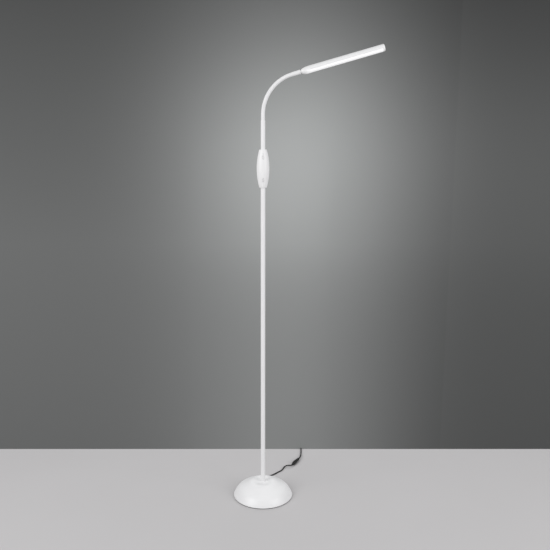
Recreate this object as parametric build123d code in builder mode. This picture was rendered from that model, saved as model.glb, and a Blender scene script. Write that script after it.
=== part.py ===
from build123d import *
from math import cos, radians, sin, sqrt, tan
import os

# Gooseneck reading floor lamp: a weighted domed base, a slim pole with an in-line control pod,
# a flexible arm and a long tubular LED head, fed by a low-voltage lead with an in-line connector.
# Millimetres, +Z up. The origin is the centre of the base's underside on the floor.
# The arm and the head reach towards +X, and the lead leaves the base at the back, towards +Y.

# ---- clearances ----
FIT = 0.1  # radial, between pieces that are fixed together
RUN = 0.08  # radial, between a pin and the bore that turns on it
PLAY = 0.3  # between surfaces that move past each other

# ---- base ----
BASE_RADIUS = 100.0
RIM_LIFT = 3.0  # shadow gap between the cover's edge and the floor
COVER_WALL = 1.5
DIMPLE_HEIGHT = 52.4  # the pole stands on this small flat
DIMPLE_FLAT = 10.0
COVER_CURVE = (  # height, and radius as a share of the base's, from the rim over the crest
    (RIM_LIFT, 1.0),
    (9.4, 0.970),
    (17.0, 0.926),
    (24.6, 0.866),
    (30.9, 0.794),
    (36.2, 0.708),
    (41.2, 0.616),
    (46.5, 0.520),
    (51.5, 0.426),
    (54.9, 0.350),
    (56.2, 0.280),
    (55.1, 0.206),
    (53.1, 0.146),
)
PAD_INSET = 6.0
PAD_HOLE = 22.0
PAD_THICKNESS = 2.5
PLATE_INSET = 5.0
PLATE_THICKNESS = 1.5
WEIGHT_INSET = 14.0
WEIGHT_THICKNESS = 15.5
WEIGHT_BEVEL = 6.0
BOSS_FOOT_RADIUS = 38.0
BOSS_TOP_RADIUS = 9.5
PLATE_SCREW_INSET = 30.0
PLATE_SCREW_COUNT = 4
PLATE_SCREW_RADIUS = 2.0
PLATE_SCREW_HEAD = 3.8
PLATE_SCREW_LENGTH = 11.0

# ---- clamp in the base ----
STUD_RADIUS = 5.0
STUD_BORE = 3.2
STUD_RISE = 26.0  # how far the stud stands above the dimple
STUD_TAIL = 1.5  # how far it stands out below the nut
NUT_FLATS = 17.0
NUT_HEIGHT = 8.0
WASHER_RADIUS = 10.5
WASHER_THICKNESS = 1.6
RECESS_RADIUS = 12.5
RECESS_DEPTH = 20.0

# ---- pole ----
POLE_RADIUS = 7.5
POLE_WALL = 1.2
POLE_LENGTH = 1023.0  # from the dimple to the pod
LOWER_LENGTH = 508.0  # of the lower of its two lengths
COUPLER_LENGTH = 44.0
COUPLER_BORE = 3.2
INSERT_LENGTH = 30.0

# ---- control pod ----
POD_LENGTH = 120.8
POD_RADIUS = 20.5
POD_END_RADIUS = 12.1
POD_WALL = 2.2
POD_LAND = 10.5  # length of each end that grips a tube
COLLAR_WIDTH = 3.0
COLLAR_THICKNESS = 3.5
BUTTON_OFFSET = 36.0  # each button, up or down from the pod's middle
BUTTON_WIDTH = 6.0
BUTTON_LENGTH = 13.0
BUTTON_GAP = 0.25
BUTTON_PROUD = 0.7
BUTTON_FLANGE = 1.2  # width and thickness of the flange that keeps it in
BUTTON_TRAVEL = 0.6
BOARD_WIDTH = 19.0
BOARD_LENGTH = 86.0
BOARD_THICKNESS = 1.6
TACT_SIDE = 6.0
TACT_HEIGHT = 3.5
PLUNGER_RADIUS = 1.7
PLUNGER_HEIGHT = 0.5
POST_OFFSET = 15.0
POST_RADIUS = 3.2
POST_SHOULDER = 1.4
REAR_POST_RADIUS = 4.4
POD_SCREW_RADIUS = 1.4
POD_SCREW_HEAD = 2.7
POD_SCREW_HEAD_HEIGHT = 2.0
POD_SCREW_SEAT = 8.0  # depth of the screw head's seat behind the pole axis
POD_SCREW_REACH = 6.0  # how far the screw goes past the parting plane
LENS_OFFSET = 47.0
LENS_RADIUS = 1.5
LENS_DEPTH = 4.0

# ---- upper tube and flexible arm ----
UPPER_RADIUS = 7.1
UPPER_WALL = 1.1
UPPER_LENGTH = 90.6  # from the pod to the arm's root
ARM_RADIUS = 6.4
ARM_BORE = 2.2
ROOT_LENGTH = 27.3  # from the tube to the first joint centre
ROOT_SPIGOT = 16.0
ARM_TURN = 74.3  # from straight up to the head's direction, in degrees
LINK_COUNT = 9
LINK_PITCH = 16.6
RIB_PITCH = 3.4
RIB_DEPTH = 0.7
BALL_RADIUS = 4.8
BALL_PLAY = 0.2
LIP_ANGLE = 20.0  # the socket's lip reaches this far past the ball's equator
FLEX_ANGLE = 19.5  # free angle between a lip and the next shoulder
FERRULE_RADIUS = 6.8
FERRULE_FLARE = 0.4
FERRULE_LENGTH = 33.0  # from the last joint centre to the ferrule's outer end

# ---- swivel between arm and head ----
NECK_GAP = 2.9
NECK_RADIUS = 4.7
SPINDLE_RADIUS = 3.0
SPINDLE_BORE = 1.5
SPINDLE_TAIL = 12.0
SPINDLE_TAIL_RADIUS = 4.0
SPINDLE_END = 1.8  # how far the spindle stands past its clip
CLIP_DEPTH = 9.6
CLIP_THICKNESS = 1.0
CLIP_RADIUS = 5.5
CLIP_GROOVE = 0.5

# ---- head ----
HEAD_RADIUS = 11.4
HEAD_WALL = 1.6
HEAD_LENGTH = 269.0
NOSE_LENGTH = 28.0
NOSE_TIP_RADIUS = 5.6
NOSE_FLARE = (3.5, 7.7, -0.2)  # depth, radius and rise of the rounding's first section
NOSE_BELLY = (10.0, 9.9, -0.5)  # the same, where the underside is already full
NOSE_CAVITY_RADIUS = 6.5
SPIGOT_LENGTH = 8.0
SPIGOT_WALL = 1.7
CAP_LENGTH = 7.0
CAP_ROUND = 3.0
CAP_SPIGOT = 24.0
SPLIT_DROP = 2.2  # the diffuser starts this far under the head's axis
SNAP_WIDTH = 1.2
SNAP_INSET = 0.6
SNAP_ROOT = 3.0
BAR_HALF_WIDTH = 9.1
BAR_RISE = 1.0  # from the head's axis to the bar's underside
BAR_THICKNESS = 2.0
RAIL_REACH = 2.6
RAIL_THICKNESS = 1.0
LED_BOARD_WIDTH = 12.4
LED_BOARD_THICKNESS = 1.0
LED_COUNT = 12
LED_SIDE = 3.0
LED_HEIGHT = 0.8
CAP_SCREWS = ((11.0, 27.0), (21.0, 36.0))  # distance from the tip, degrees above the side
CAP_SCREW_RADIUS = 0.9
CAP_SCREW_HEAD = 1.5
CAP_SCREW_HEAD_HEIGHT = 0.8

# ---- lead ----
CORD_RADIUS = 2.25
CORD_SIDES = 8
UPPER_WIRE_RADIUS = 1.5
GLAND_HEIGHT = 6.6
GLAND_RADIUS = 4.4
GLAND_NECK_RADIUS = 3.6
GLAND_FLANGE = 2.0
GLAND_TAIL = 6.0
GLAND_TAIL_RADIUS = 3.0
WIRE_SLOT = 6.0
WIRE_BEND = 6.0
WIRE_HOOK = 3.0
WIRE_INLET = 9.0  # how far inside the pod each wire reaches its board
SOCKET_LENGTH = 32.0
SOCKET_RADIUS = 6.6
SOCKET_TAIL_RADIUS = 3.4
SOCKET_TAIL = 12.0
PLUG_LENGTH = 28.0
PLUG_RADIUS = 5.4
PLUG_TAIL_RADIUS = 3.1
PLUG_HEAD = 11.0
BARREL_RADIUS = 2.75
BARREL_BORE = 1.25
BARREL_LENGTH = 9.5
CONNECTOR_START = (112.5, 215.5)
CONNECTOR_HEADING = 62.5  # degrees from +X on the floor
COIL_CENTRE = (121.0, 408.0)
COIL_RADIUS = 33.0
COIL_PITCH = 5.0
COIL_HALF_TURNS = 8  # in the lower layer
CORD_REST = 2.3  # height of a lying cord's centre
ADAPTER_WIDTH = 44.0
ADAPTER_LENGTH = 60.0
ADAPTER_HEIGHT = 28.0
ADAPTER_ROUND = 4.0
RELIEF_LENGTH = 18.0
RELIEF_RADIUS = 4.6
RELIEF_TAIL_RADIUS = 3.0
PIN_RADIUS = 2.0
PIN_LENGTH = 19.0
PIN_SPACING = 19.0
PIN_INSET = 16.0
PIN_ROOT = 3.0

CONNECTOR_LEAD = 9.0  # straight run of cord at each end of the connector

SUPPLY_ROUTE = (
    (0.0, 118.5, 6.6),
    (8.0, 127.0, 5.0),
    (20.5, 129.5, 3.0),
    (33.0, 137.0, 2.3),
    (46.5, 150.5, 2.3),
    (57.5, 163.0, 2.3),
    (68.0, 173.5, 2.3),
    (75.0, 186.0, 2.3),
    (77.3, 194.5, 2.6),
    (82.5, 203.5, 4.4),
    (91.5, 207.0, 7.4),
    (99.9, 204.4, 8.4),
)
LEAD_ROUTE = (
    (147.5, 295.0, 4.6),
    (149.8, 312.5, 2.7),
    (151.4, 330.0, 2.3),
    (152.6, 348.0, 2.3),
    (153.5, 367.0, 2.3),
    (154.0, 387.5, 2.3),
)
TAIL_ROUTE = (
    (154.0, 417.0, 7.3),
    (153.4, 426.5, 9.4),
    (150.6, 437.5, 12.9),
    (150.0, 448.0, 14.0),
)
ADAPTER_PLACE = (150.0, 457.0)  # where the lead enters the adapter's relief

# ---- places that follow from the sizes ----
PLATE_TOP = PAD_THICKNESS + PLATE_THICKNESS
SEAT_HEIGHT = DIMPLE_HEIGHT - COVER_WALL
RECESS_TOP = PLATE_TOP + RECESS_DEPTH
NUT_TOP = RECESS_TOP - WASHER_THICKNESS
STUD_BOTTOM = NUT_TOP - NUT_HEIGHT - STUD_TAIL
POLE_BORE = POLE_RADIUS - POLE_WALL
POLE_SPLIT = DIMPLE_HEIGHT + LOWER_LENGTH
POD_BOTTOM = DIMPLE_HEIGHT + POLE_LENGTH
POD_TOP = POD_BOTTOM + POD_LENGTH
POD_HALF = POD_LENGTH / 2
POD_GRIP = POD_HALF - POD_LAND
POD_BULGE = POD_RADIUS - POD_END_RADIUS
POD_CURVE = (POD_HALF**2 + POD_BULGE**2) / (2 * POD_BULGE)
UPPER_BORE = UPPER_RADIUS - UPPER_WALL
UPPER_TOP = POD_TOP + UPPER_LENGTH
ARM_START = UPPER_TOP + ROOT_LENGTH
SOCKET_BALL_RADIUS = BALL_RADIUS + BALL_PLAY
SHOULDER_ANGLE = LIP_ANGLE + FLEX_ANGLE
TURN = radians(ARM_TURN)
REACH = Vector(sin(TURN), 0, cos(TURN))
LIFT = Vector(-cos(TURN), 0, sin(TURN))
HEAD_BORE = HEAD_RADIUS - HEAD_WALL
BAR_TOP = BAR_RISE + BAR_THICKNESS
RAIL_BASE = BAR_RISE - FIT - RAIL_THICKNESS
HEAD_BODY_END = HEAD_LENGTH - CAP_LENGTH
BAR_START = NOSE_LENGTH + SPIGOT_LENGTH + 1.0
BAR_END = HEAD_BODY_END - CAP_SPIGOT - 1.0
BOTTOM = (Align.CENTER, Align.CENTER, Align.MIN)
UPRIGHT = Plane(origin=(0, 0, 0), x_dir=(0, 0, 1), z_dir=(0, 1, 0))
POD_SIDE = Plane(origin=(0, 0, (POD_BOTTOM + POD_TOP) / 2), x_dir=(0, 0, 1), z_dir=(0, 1, 0))
POD_FRONT = Plane(origin=POD_SIDE.origin, x_dir=(1, 0, 0), z_dir=(0, -1, 0))


def pod_reach(along, depth=0.0):
    """Distance from the pole axis to the pod's surface, or to a depth under it, at one height."""
    return POD_RADIUS - POD_CURVE + sqrt((POD_CURVE - depth) ** 2 - along**2)


def flange_front():
    """Depth in front of the pole axis where a button's flange rests behind the pod's wall."""
    tip = BUTTON_OFFSET + BUTTON_LENGTH / 2 + BUTTON_FLANGE
    side = BUTTON_WIDTH / 2 + BUTTON_FLANGE
    return sqrt(pod_reach(tip, POD_WALL) ** 2 - side**2) - PLAY


def board_front():
    """Depth of the circuit board's face, so that each button's travel ends on its switch."""
    return flange_front() - BUTTON_FLANGE - BUTTON_TRAVEL - FIT - PLUNGER_HEIGHT - TACT_HEIGHT


def joint_centres():
    """Centres of the arm's joints, one link pitch apart on a steadily turning line."""
    centres = [Vector(0, 0, ARM_START)]
    for index in range(1, LINK_COUNT + 1):
        turn = radians(index * ARM_TURN / (LINK_COUNT + 1))
        centres.append(centres[-1] + Vector(sin(turn), 0, cos(turn)) * LINK_PITCH)
    return centres


JOINTS = joint_centres()
HEAD_START = JOINTS[-1] + REACH * (FERRULE_LENGTH + NECK_GAP)
HEAD_SIDE = Plane(origin=HEAD_START, x_dir=REACH, z_dir=(0, -1, 0))
HEAD_SECTION = Plane(origin=HEAD_START, x_dir=(0, 1, 0), z_dir=REACH)
CONNECTOR_AXIS = Vector(cos(radians(CONNECTOR_HEADING)), sin(radians(CONNECTOR_HEADING)), 0)
CONNECTOR_TAIL = Vector(*CONNECTOR_START, SOCKET_RADIUS)
CONNECTOR_END = CONNECTOR_TAIL + CONNECTOR_AXIS * (SOCKET_LENGTH + PLUG_LENGTH)
CONNECTOR_INLET = CONNECTOR_TAIL - CONNECTOR_AXIS * CONNECTOR_LEAD
CONNECTOR_OUTLET = CONNECTOR_END + CONNECTOR_AXIS * CONNECTOR_LEAD
CONNECTOR = Plane(origin=CONNECTOR_TAIL, x_dir=CONNECTOR_AXIS, z_dir=(0, 0, 1))
GLAND_END = BASE_RADIUS + FIT + GLAND_FLANGE + GLAND_TAIL
GLAND = Plane(origin=(0, 0, GLAND_HEIGHT), x_dir=(0, 1, 0), z_dir=(0, 0, 1))
ADAPTER_ENTRY = Vector(*ADAPTER_PLACE, ADAPTER_HEIGHT / 2)


def save(piece, label):
    """Label a finished piece and write it."""
    piece.part.label = label
    export_step(piece.part, f"parts/{label}.step")


def turned(label, plane, outline):
    """A piece turned about the plane's x axis; the outline is (along, radius) pairs."""
    with BuildPart() as piece:
        with BuildSketch(plane):
            with BuildLine():
                Polyline(*outline, close=True)
            make_face()
        revolve(axis=Axis(plane.origin, plane.x_dir))
    save(piece, label)


def tube(label, plane, start, end, outer, inner):
    """A plain round tube along the plane's x axis."""
    turned(label, plane, [(start, inner), (end, inner), (end, outer), (start, outer)])


# ---- base ----
def base_pad():
    """Thin foam ring that the lamp stands on."""
    with BuildPart() as pad:
        with BuildSketch():
            Circle(BASE_RADIUS - PAD_INSET)
            Circle(PAD_HOLE, mode=Mode.SUBTRACT)
        extrude(amount=PAD_THICKNESS)
    save(pad, "base_pad")


def plate_screw_places():
    """The circle of screws that hold the plate to the weight."""
    return PolarLocations(BASE_RADIUS - PLATE_SCREW_INSET, PLATE_SCREW_COUNT, start_angle=45)


def base_plate():
    """Steel floor plate with countersunk holes."""
    with BuildPart() as plate:
        with BuildSketch(Plane.XY.offset(PAD_THICKNESS)):
            Circle(BASE_RADIUS - PLATE_INSET)
        extrude(amount=PLATE_THICKNESS)
        with Locations((0, 0, PAD_THICKNESS)):
            with plate_screw_places():
                Cone(
                    PLATE_SCREW_HEAD + FIT,
                    PLATE_SCREW_RADIUS + FIT,
                    PLATE_THICKNESS,
                    align=BOTTOM,
                    mode=Mode.SUBTRACT,
                )
    save(plate, "base_plate")


def plate_screws():
    """Countersunk screws, heads flush with the plate's underside."""
    with BuildPart() as screws:
        with Locations((0, 0, PAD_THICKNESS)):
            with plate_screw_places():
                Cone(PLATE_SCREW_HEAD, PLATE_SCREW_RADIUS, PLATE_THICKNESS, align=BOTTOM)
        with Locations((0, 0, PLATE_TOP)):
            with plate_screw_places():
                Cylinder(PLATE_SCREW_RADIUS, PLATE_SCREW_LENGTH - PLATE_THICKNESS, align=BOTTOM)
    save(screws, "plate_screws")


def base_weight():
    """Cast disc with a boss up to the dimple, a nut recess below and a slot for the wire."""
    radius = BASE_RADIUS - WEIGHT_INSET
    top = PLATE_TOP + WEIGHT_THICKNESS
    stud_hole = STUD_RADIUS + FIT
    with BuildPart() as weight:
        with BuildSketch(UPRIGHT):
            with BuildLine():
                Polyline(
                    (PLATE_TOP, RECESS_RADIUS),
                    (PLATE_TOP, radius),
                    (top - WEIGHT_BEVEL, radius),
                    (top, radius - WEIGHT_BEVEL),
                    (top, BOSS_FOOT_RADIUS),
                    (SEAT_HEIGHT, BOSS_TOP_RADIUS),
                    (SEAT_HEIGHT, stud_hole),
                    (RECESS_TOP, stud_hole),
                    (RECESS_TOP, RECESS_RADIUS),
                    close=True,
                )
            make_face()
        revolve(axis=Axis.Z)
        with BuildSketch(Plane.XY.offset(PLATE_TOP)):
            Rectangle(WIRE_SLOT, radius + 1, align=(Align.CENTER, Align.MIN))
        extrude(amount=GLAND_HEIGHT + WIRE_SLOT / 2 - PLATE_TOP, mode=Mode.SUBTRACT)
        with Locations((0, 0, PLATE_TOP)):
            with plate_screw_places():
                Cylinder(PLATE_SCREW_RADIUS + FIT, PLATE_SCREW_LENGTH, align=BOTTOM, mode=Mode.SUBTRACT)
    save(weight, "base_weight")


def base_cover():
    """Spun steel dome with a soft dimple round the pole and a notch for the lead."""
    hole = STUD_RADIUS + FIT
    steps = [index / 26 for index in range(1, 26)]
    with BuildPart() as cover:
        with BuildSketch(UPRIGHT):
            with BuildLine():
                curve = [(height, share * BASE_RADIUS) for height, share in COVER_CURVE]
                outer = Spline(*curve, (DIMPLE_HEIGHT, DIMPLE_FLAT), tangents=((1, -0.42), (0, -1)))
                under = [outer @ step + (outer % step).rotate(Axis.Z, -90) * COVER_WALL for step in steps]
                foot = (RIM_LIFT, BASE_RADIUS - COVER_WALL)
                inner = Spline(foot, *under, (SEAT_HEIGHT, DIMPLE_FLAT))
                Line(outer @ 0, inner @ 0)
                Polyline(outer @ 1, (DIMPLE_HEIGHT, hole), (SEAT_HEIGHT, hole), inner @ 1)
            make_face()
        revolve(axis=Axis.Z)
        with BuildSketch(Plane(origin=(0, 0, GLAND_HEIGHT), x_dir=(-1, 0, 0), z_dir=(0, 1, 0))):
            Circle(GLAND_NECK_RADIUS + FIT)
            Rectangle(2 * (GLAND_NECK_RADIUS + FIT), GLAND_HEIGHT, align=(Align.CENTER, Align.MAX))
        extrude(amount=BASE_RADIUS + 1, mode=Mode.SUBTRACT)
    save(cover, "base_cover")


def cord_gland():
    """Rubber bush in the cover's notch, tapering along the lead."""
    bore = CORD_RADIUS + FIT
    turned(
        "cord_gland",
        GLAND,
        [
            (BASE_RADIUS - PLATE_INSET + PLAY, bore),
            (GLAND_END, bore),
            (GLAND_END, GLAND_TAIL_RADIUS),
            (BASE_RADIUS + FIT + GLAND_FLANGE, GLAND_RADIUS),
            (BASE_RADIUS + FIT, GLAND_RADIUS),
            (BASE_RADIUS + FIT, GLAND_NECK_RADIUS),
            (BASE_RADIUS - PLATE_INSET + PLAY, GLAND_NECK_RADIUS),
        ],
    )


def clamp_parts():
    """Hollow threaded stud, lock washer and nut that clamp the pole, cover and weight together."""
    tube("pole_stud", UPRIGHT, STUD_BOTTOM, DIMPLE_HEIGHT + STUD_RISE, STUD_RADIUS, STUD_BORE)
    tube("stud_washer", UPRIGHT, NUT_TOP, RECESS_TOP, WASHER_RADIUS, STUD_RADIUS + FIT)
    with BuildPart() as nut:
        with BuildSketch(Plane.XY.offset(NUT_TOP - NUT_HEIGHT)):
            RegularPolygon(NUT_FLATS / 2, 6, major_radius=False)
            Circle(STUD_RADIUS + FIT, mode=Mode.SUBTRACT)
        extrude(amount=NUT_HEIGHT)
    save(nut, "stud_nut")


# ---- pole ----
def pole():
    """Two lengths of tube, the threaded insert in the foot and the plug that joins them."""
    plug_radius = POLE_BORE - FIT
    insert_top = DIMPLE_HEIGHT + INSERT_LENGTH
    tube("foot_insert", UPRIGHT, DIMPLE_HEIGHT, insert_top, plug_radius, STUD_RADIUS + FIT)
    tube("pole_lower", UPRIGHT, DIMPLE_HEIGHT, POLE_SPLIT, POLE_RADIUS, POLE_BORE)
    half = COUPLER_LENGTH / 2
    tube("pole_coupler", UPRIGHT, POLE_SPLIT - half, POLE_SPLIT + half, plug_radius, COUPLER_BORE)
    pole_end = POD_BOTTOM + POD_LAND + COLLAR_THICKNESS
    tube("pole_upper", UPRIGHT, POLE_SPLIT, pole_end, POLE_RADIUS, POLE_BORE)


# ---- control pod ----
def pod_shell():
    """Both halves of the pod's hollow spindle in one, before it is split."""
    edge = pod_reach(POD_GRIP, POD_WALL)
    with BuildPart() as shell:
        with BuildSketch(POD_SIDE):
            with BuildLine():
                ThreePointArc((-POD_HALF, POD_END_RADIUS), (0, POD_RADIUS), (POD_HALF, POD_END_RADIUS))
                Polyline(
                    (POD_HALF, POD_END_RADIUS),
                    (POD_HALF, UPPER_RADIUS + FIT),
                    (POD_GRIP, UPPER_RADIUS + FIT),
                    (POD_GRIP, edge),
                )
                ThreePointArc((POD_GRIP, edge), (0, POD_RADIUS - POD_WALL), (-POD_GRIP, edge))
                Polyline(
                    (-POD_GRIP, edge),
                    (-POD_GRIP, POLE_RADIUS + FIT),
                    (-POD_HALF, POLE_RADIUS + FIT),
                    (-POD_HALF, POD_END_RADIUS),
                )
            make_face()
        revolve(axis=Axis.Z)
    return shell.part


def posts(depth, radius, root):
    """Round posts on the pod's centre line, from a depth in front of the axis to the wall."""
    with BuildSketch(POD_FRONT.offset(depth)) as rounds:
        with Locations((0, POST_OFFSET), (0, -POST_OFFSET)):
            Circle(radius)
    extrude(rounds.sketch, amount=root)


def pod_front(shell):
    """Front half: button windows, lens hole and the posts that carry the board."""
    wall = pod_reach(POST_OFFSET, POD_WALL) + POD_WALL / 3
    with BuildPart() as front:
        add(shell)
        split(bisect_by=Plane.XZ, keep=Keep.TOP)
        with BuildSketch(POD_FRONT):
            with Locations((0, BUTTON_OFFSET), (0, -BUTTON_OFFSET)):
                SlotOverall(BUTTON_LENGTH, BUTTON_WIDTH, rotation=90)
            with Locations((0, LENS_OFFSET)):
                Circle(LENS_RADIUS + FIT)
        extrude(amount=POD_RADIUS + 1, mode=Mode.SUBTRACT)
        posts(0, POST_RADIUS, wall)
        posts(board_front(), POST_RADIUS + POST_SHOULDER, wall - board_front())
        with BuildSketch(POD_FRONT):
            with Locations((0, POST_OFFSET), (0, -POST_OFFSET)):
                Circle(POD_SCREW_RADIUS + FIT)
        extrude(amount=POD_SCREW_REACH + 1, mode=Mode.SUBTRACT)
    save(front, "pod_front")


def pod_rear(shell):
    """Rear half: posts with counterbored holes for the two screws."""
    wall = pod_reach(POST_OFFSET, POD_WALL) + POD_WALL / 3
    seats = POD_FRONT.offset(-POD_SCREW_SEAT)
    with BuildPart() as rear:
        add(shell)
        split(bisect_by=Plane.XZ, keep=Keep.BOTTOM)
        posts(-FIT, REAR_POST_RADIUS, FIT - wall)
        with BuildSketch(seats):
            with Locations((0, POST_OFFSET), (0, -POST_OFFSET)):
                Circle(POD_SCREW_HEAD + FIT)
        extrude(amount=-POD_RADIUS, mode=Mode.SUBTRACT)
        with BuildSketch(seats):
            with Locations((0, POST_OFFSET), (0, -POST_OFFSET)):
                Circle(POD_SCREW_RADIUS + FIT)
        extrude(amount=POD_SCREW_SEAT, mode=Mode.SUBTRACT)
    save(rear, "pod_rear")


def pod_screws():
    """Two pan-head screws from the back."""
    with BuildPart() as screws:
        with BuildSketch(POD_FRONT.offset(-POD_SCREW_SEAT)):
            with Locations((0, POST_OFFSET), (0, -POST_OFFSET)):
                Circle(POD_SCREW_RADIUS)
        extrude(amount=POD_SCREW_SEAT + POD_SCREW_REACH)
        with BuildSketch(POD_FRONT.offset(-POD_SCREW_SEAT)):
            with Locations((0, POST_OFFSET), (0, -POST_OFFSET)):
                Circle(POD_SCREW_HEAD)
        extrude(amount=-POD_SCREW_HEAD_HEIGHT)
    save(screws, "pod_screws")


def circuit_board():
    """Control board, standing behind the buttons on the front half's posts."""
    with BuildPart() as board:
        with BuildSketch(POD_FRONT.offset(board_front() - BOARD_THICKNESS)):
            Rectangle(BOARD_WIDTH, BOARD_LENGTH)
            with Locations((0, POST_OFFSET), (0, -POST_OFFSET)):
                Circle(POST_RADIUS + FIT, mode=Mode.SUBTRACT)
        extrude(amount=BOARD_THICKNESS)
    save(board, "circuit_board")


def tact_switches():
    """A push switch on the board behind each button."""
    with BuildPart() as switches:
        with BuildSketch(POD_FRONT.offset(board_front())):
            with Locations((0, BUTTON_OFFSET), (0, -BUTTON_OFFSET)):
                Rectangle(TACT_SIDE, TACT_SIDE)
        extrude(amount=TACT_HEIGHT)
        with BuildSketch(POD_FRONT.offset(board_front() + TACT_HEIGHT)):
            with Locations((0, BUTTON_OFFSET), (0, -BUTTON_OFFSET)):
                Circle(PLUNGER_RADIUS)
        extrude(amount=PLUNGER_HEIGHT)
    save(switches, "tact_switches")


def pod_envelope(proud):
    """Cut the current part to the pod's outer curve, raised by a little."""
    with BuildSketch(POD_SIDE) as curve:
        with BuildLine():
            ThreePointArc(
                (-POD_GRIP, pod_reach(POD_GRIP, -proud)),
                (0, POD_RADIUS + proud),
                (POD_GRIP, pod_reach(POD_GRIP, -proud)),
            )
            Polyline(
                (POD_GRIP, pod_reach(POD_GRIP, -proud)),
                (POD_GRIP, 0),
                (-POD_GRIP, 0),
                (-POD_GRIP, pod_reach(POD_GRIP, -proud)),
            )
        make_face()
    revolve(curve.sketch, axis=Axis.Z, mode=Mode.INTERSECT)


def button(label, height):
    """Long push button, domed like the pod, with a flange that keeps it in."""
    back = flange_front() - BUTTON_FLANGE
    length = BUTTON_LENGTH - 2 * BUTTON_GAP
    width = BUTTON_WIDTH - 2 * BUTTON_GAP
    with BuildPart() as cap:
        with BuildSketch(POD_FRONT.offset(back)):
            with Locations((0, height)):
                SlotOverall(length, width, rotation=90)
        extrude(amount=POD_RADIUS)
        with BuildSketch(POD_FRONT.offset(back)):
            with Locations((0, height)):
                SlotOverall(BUTTON_LENGTH + 2 * BUTTON_FLANGE, BUTTON_WIDTH + 2 * BUTTON_FLANGE, rotation=90)
        extrude(amount=BUTTON_FLANGE)
        pod_envelope(BUTTON_PROUD)
    save(cap, label)


def indicator_lens():
    """Small clear lens over the pilot light."""
    back = pod_reach(LENS_OFFSET, LENS_DEPTH)
    with BuildPart() as lens:
        with BuildSketch(POD_FRONT.offset(back)):
            with Locations((0, LENS_OFFSET)):
                Circle(LENS_RADIUS)
        extrude(amount=POD_RADIUS)
        pod_envelope(FIT)
    save(lens, "indicator_lens")


def collars():
    """Rings pressed on the tube ends, caught behind the pod's lands."""
    lower = POD_BOTTOM + POD_LAND
    upper = POD_TOP - POD_LAND
    rim = POLE_RADIUS + COLLAR_WIDTH
    tube("lower_collar", UPRIGHT, lower, lower + COLLAR_THICKNESS, rim, POLE_RADIUS + FIT)
    rim = UPPER_RADIUS + COLLAR_WIDTH
    tube("upper_collar", UPRIGHT, upper - COLLAR_THICKNESS, upper, rim, UPPER_RADIUS + FIT)


# ---- flexible arm ----
def ball_line():
    """Ball round the origin and the cone of the shoulder behind it."""
    low = -sqrt(BALL_RADIUS**2 - ARM_BORE**2)
    high = radians(SHOULDER_ANGLE)
    ball = ThreePointArc(
        (low, ARM_BORE), (0, BALL_RADIUS), (BALL_RADIUS * sin(high), BALL_RADIUS * cos(high))
    )
    return ball


def socket_line(centre, radius):
    """Lip cone and round socket at a joint centre further along; ends in the bore."""
    lip = radians(LIP_ANGLE)
    edge = (centre + SOCKET_BALL_RADIUS * sin(lip), SOCKET_BALL_RADIUS * cos(lip))
    floor = (centre - sqrt(SOCKET_BALL_RADIUS**2 - ARM_BORE**2), ARM_BORE)
    Line((centre + radius * tan(lip), radius), edge)
    middle = radians(LIP_ANGLE - 40.0)
    return ThreePointArc(
        edge,
        (centre + SOCKET_BALL_RADIUS * sin(middle), SOCKET_BALL_RADIUS * cos(middle)),
        floor,
    )


def rib_points(start, end):
    """Crests and valleys of the wound tube's ribs, with a crest at each end."""
    count = max(1, round((end - start) / RIB_PITCH))
    step = (end - start) / count
    points = [(start, ARM_RADIUS)]
    for index in range(count):
        points.append((start + (index + 0.5) * step, ARM_RADIUS - RIB_DEPTH))
        points.append((start + (index + 1) * step, ARM_RADIUS))
    return points


def arm_root():
    """Ribbed stub at the arm's foot: a spigot in the upper tube and the first socket."""
    lip_edge = ROOT_LENGTH + ARM_RADIUS * tan(radians(LIP_ANGLE))
    spigot = UPPER_BORE - FIT
    plane = Plane(origin=(0, 0, UPPER_TOP), x_dir=(0, 0, 1), z_dir=(0, 1, 0))
    with BuildPart() as root:
        with BuildSketch(plane):
            with BuildLine():
                Polyline((-ROOT_SPIGOT, ARM_BORE), (-ROOT_SPIGOT, spigot), (0, spigot), (0, ARM_RADIUS))
                Polyline(*rib_points(0, lip_edge))
                socket = socket_line(ROOT_LENGTH, ARM_RADIUS)
                Line(socket @ 1, (-ROOT_SPIGOT, ARM_BORE))
            make_face()
        revolve(axis=Axis.Z)
    save(root, "arm_root")


def arm_link(number):
    """One rigid stretch of the arm: ball below, ribs, socket above."""
    turn = radians(number * ARM_TURN / (LINK_COUNT + 1))
    direction = Vector(sin(turn), 0, cos(turn))
    plane = Plane(origin=JOINTS[number - 1], x_dir=direction, z_dir=(0, 1, 0))
    shoulder = ARM_RADIUS * tan(radians(SHOULDER_ANGLE))
    lip_edge = LINK_PITCH + ARM_RADIUS * tan(radians(LIP_ANGLE))
    with BuildPart() as link:
        with BuildSketch(plane):
            with BuildLine():
                ball = ball_line()
                Line(ball @ 1, (shoulder, ARM_RADIUS))
                Polyline(*rib_points(shoulder, lip_edge))
                socket = socket_line(LINK_PITCH, ARM_RADIUS)
                Line(socket @ 1, ball @ 0)
            make_face()
        revolve(axis=Axis(plane.origin, plane.x_dir))
    save(link, f"arm_link_{number}")


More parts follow.
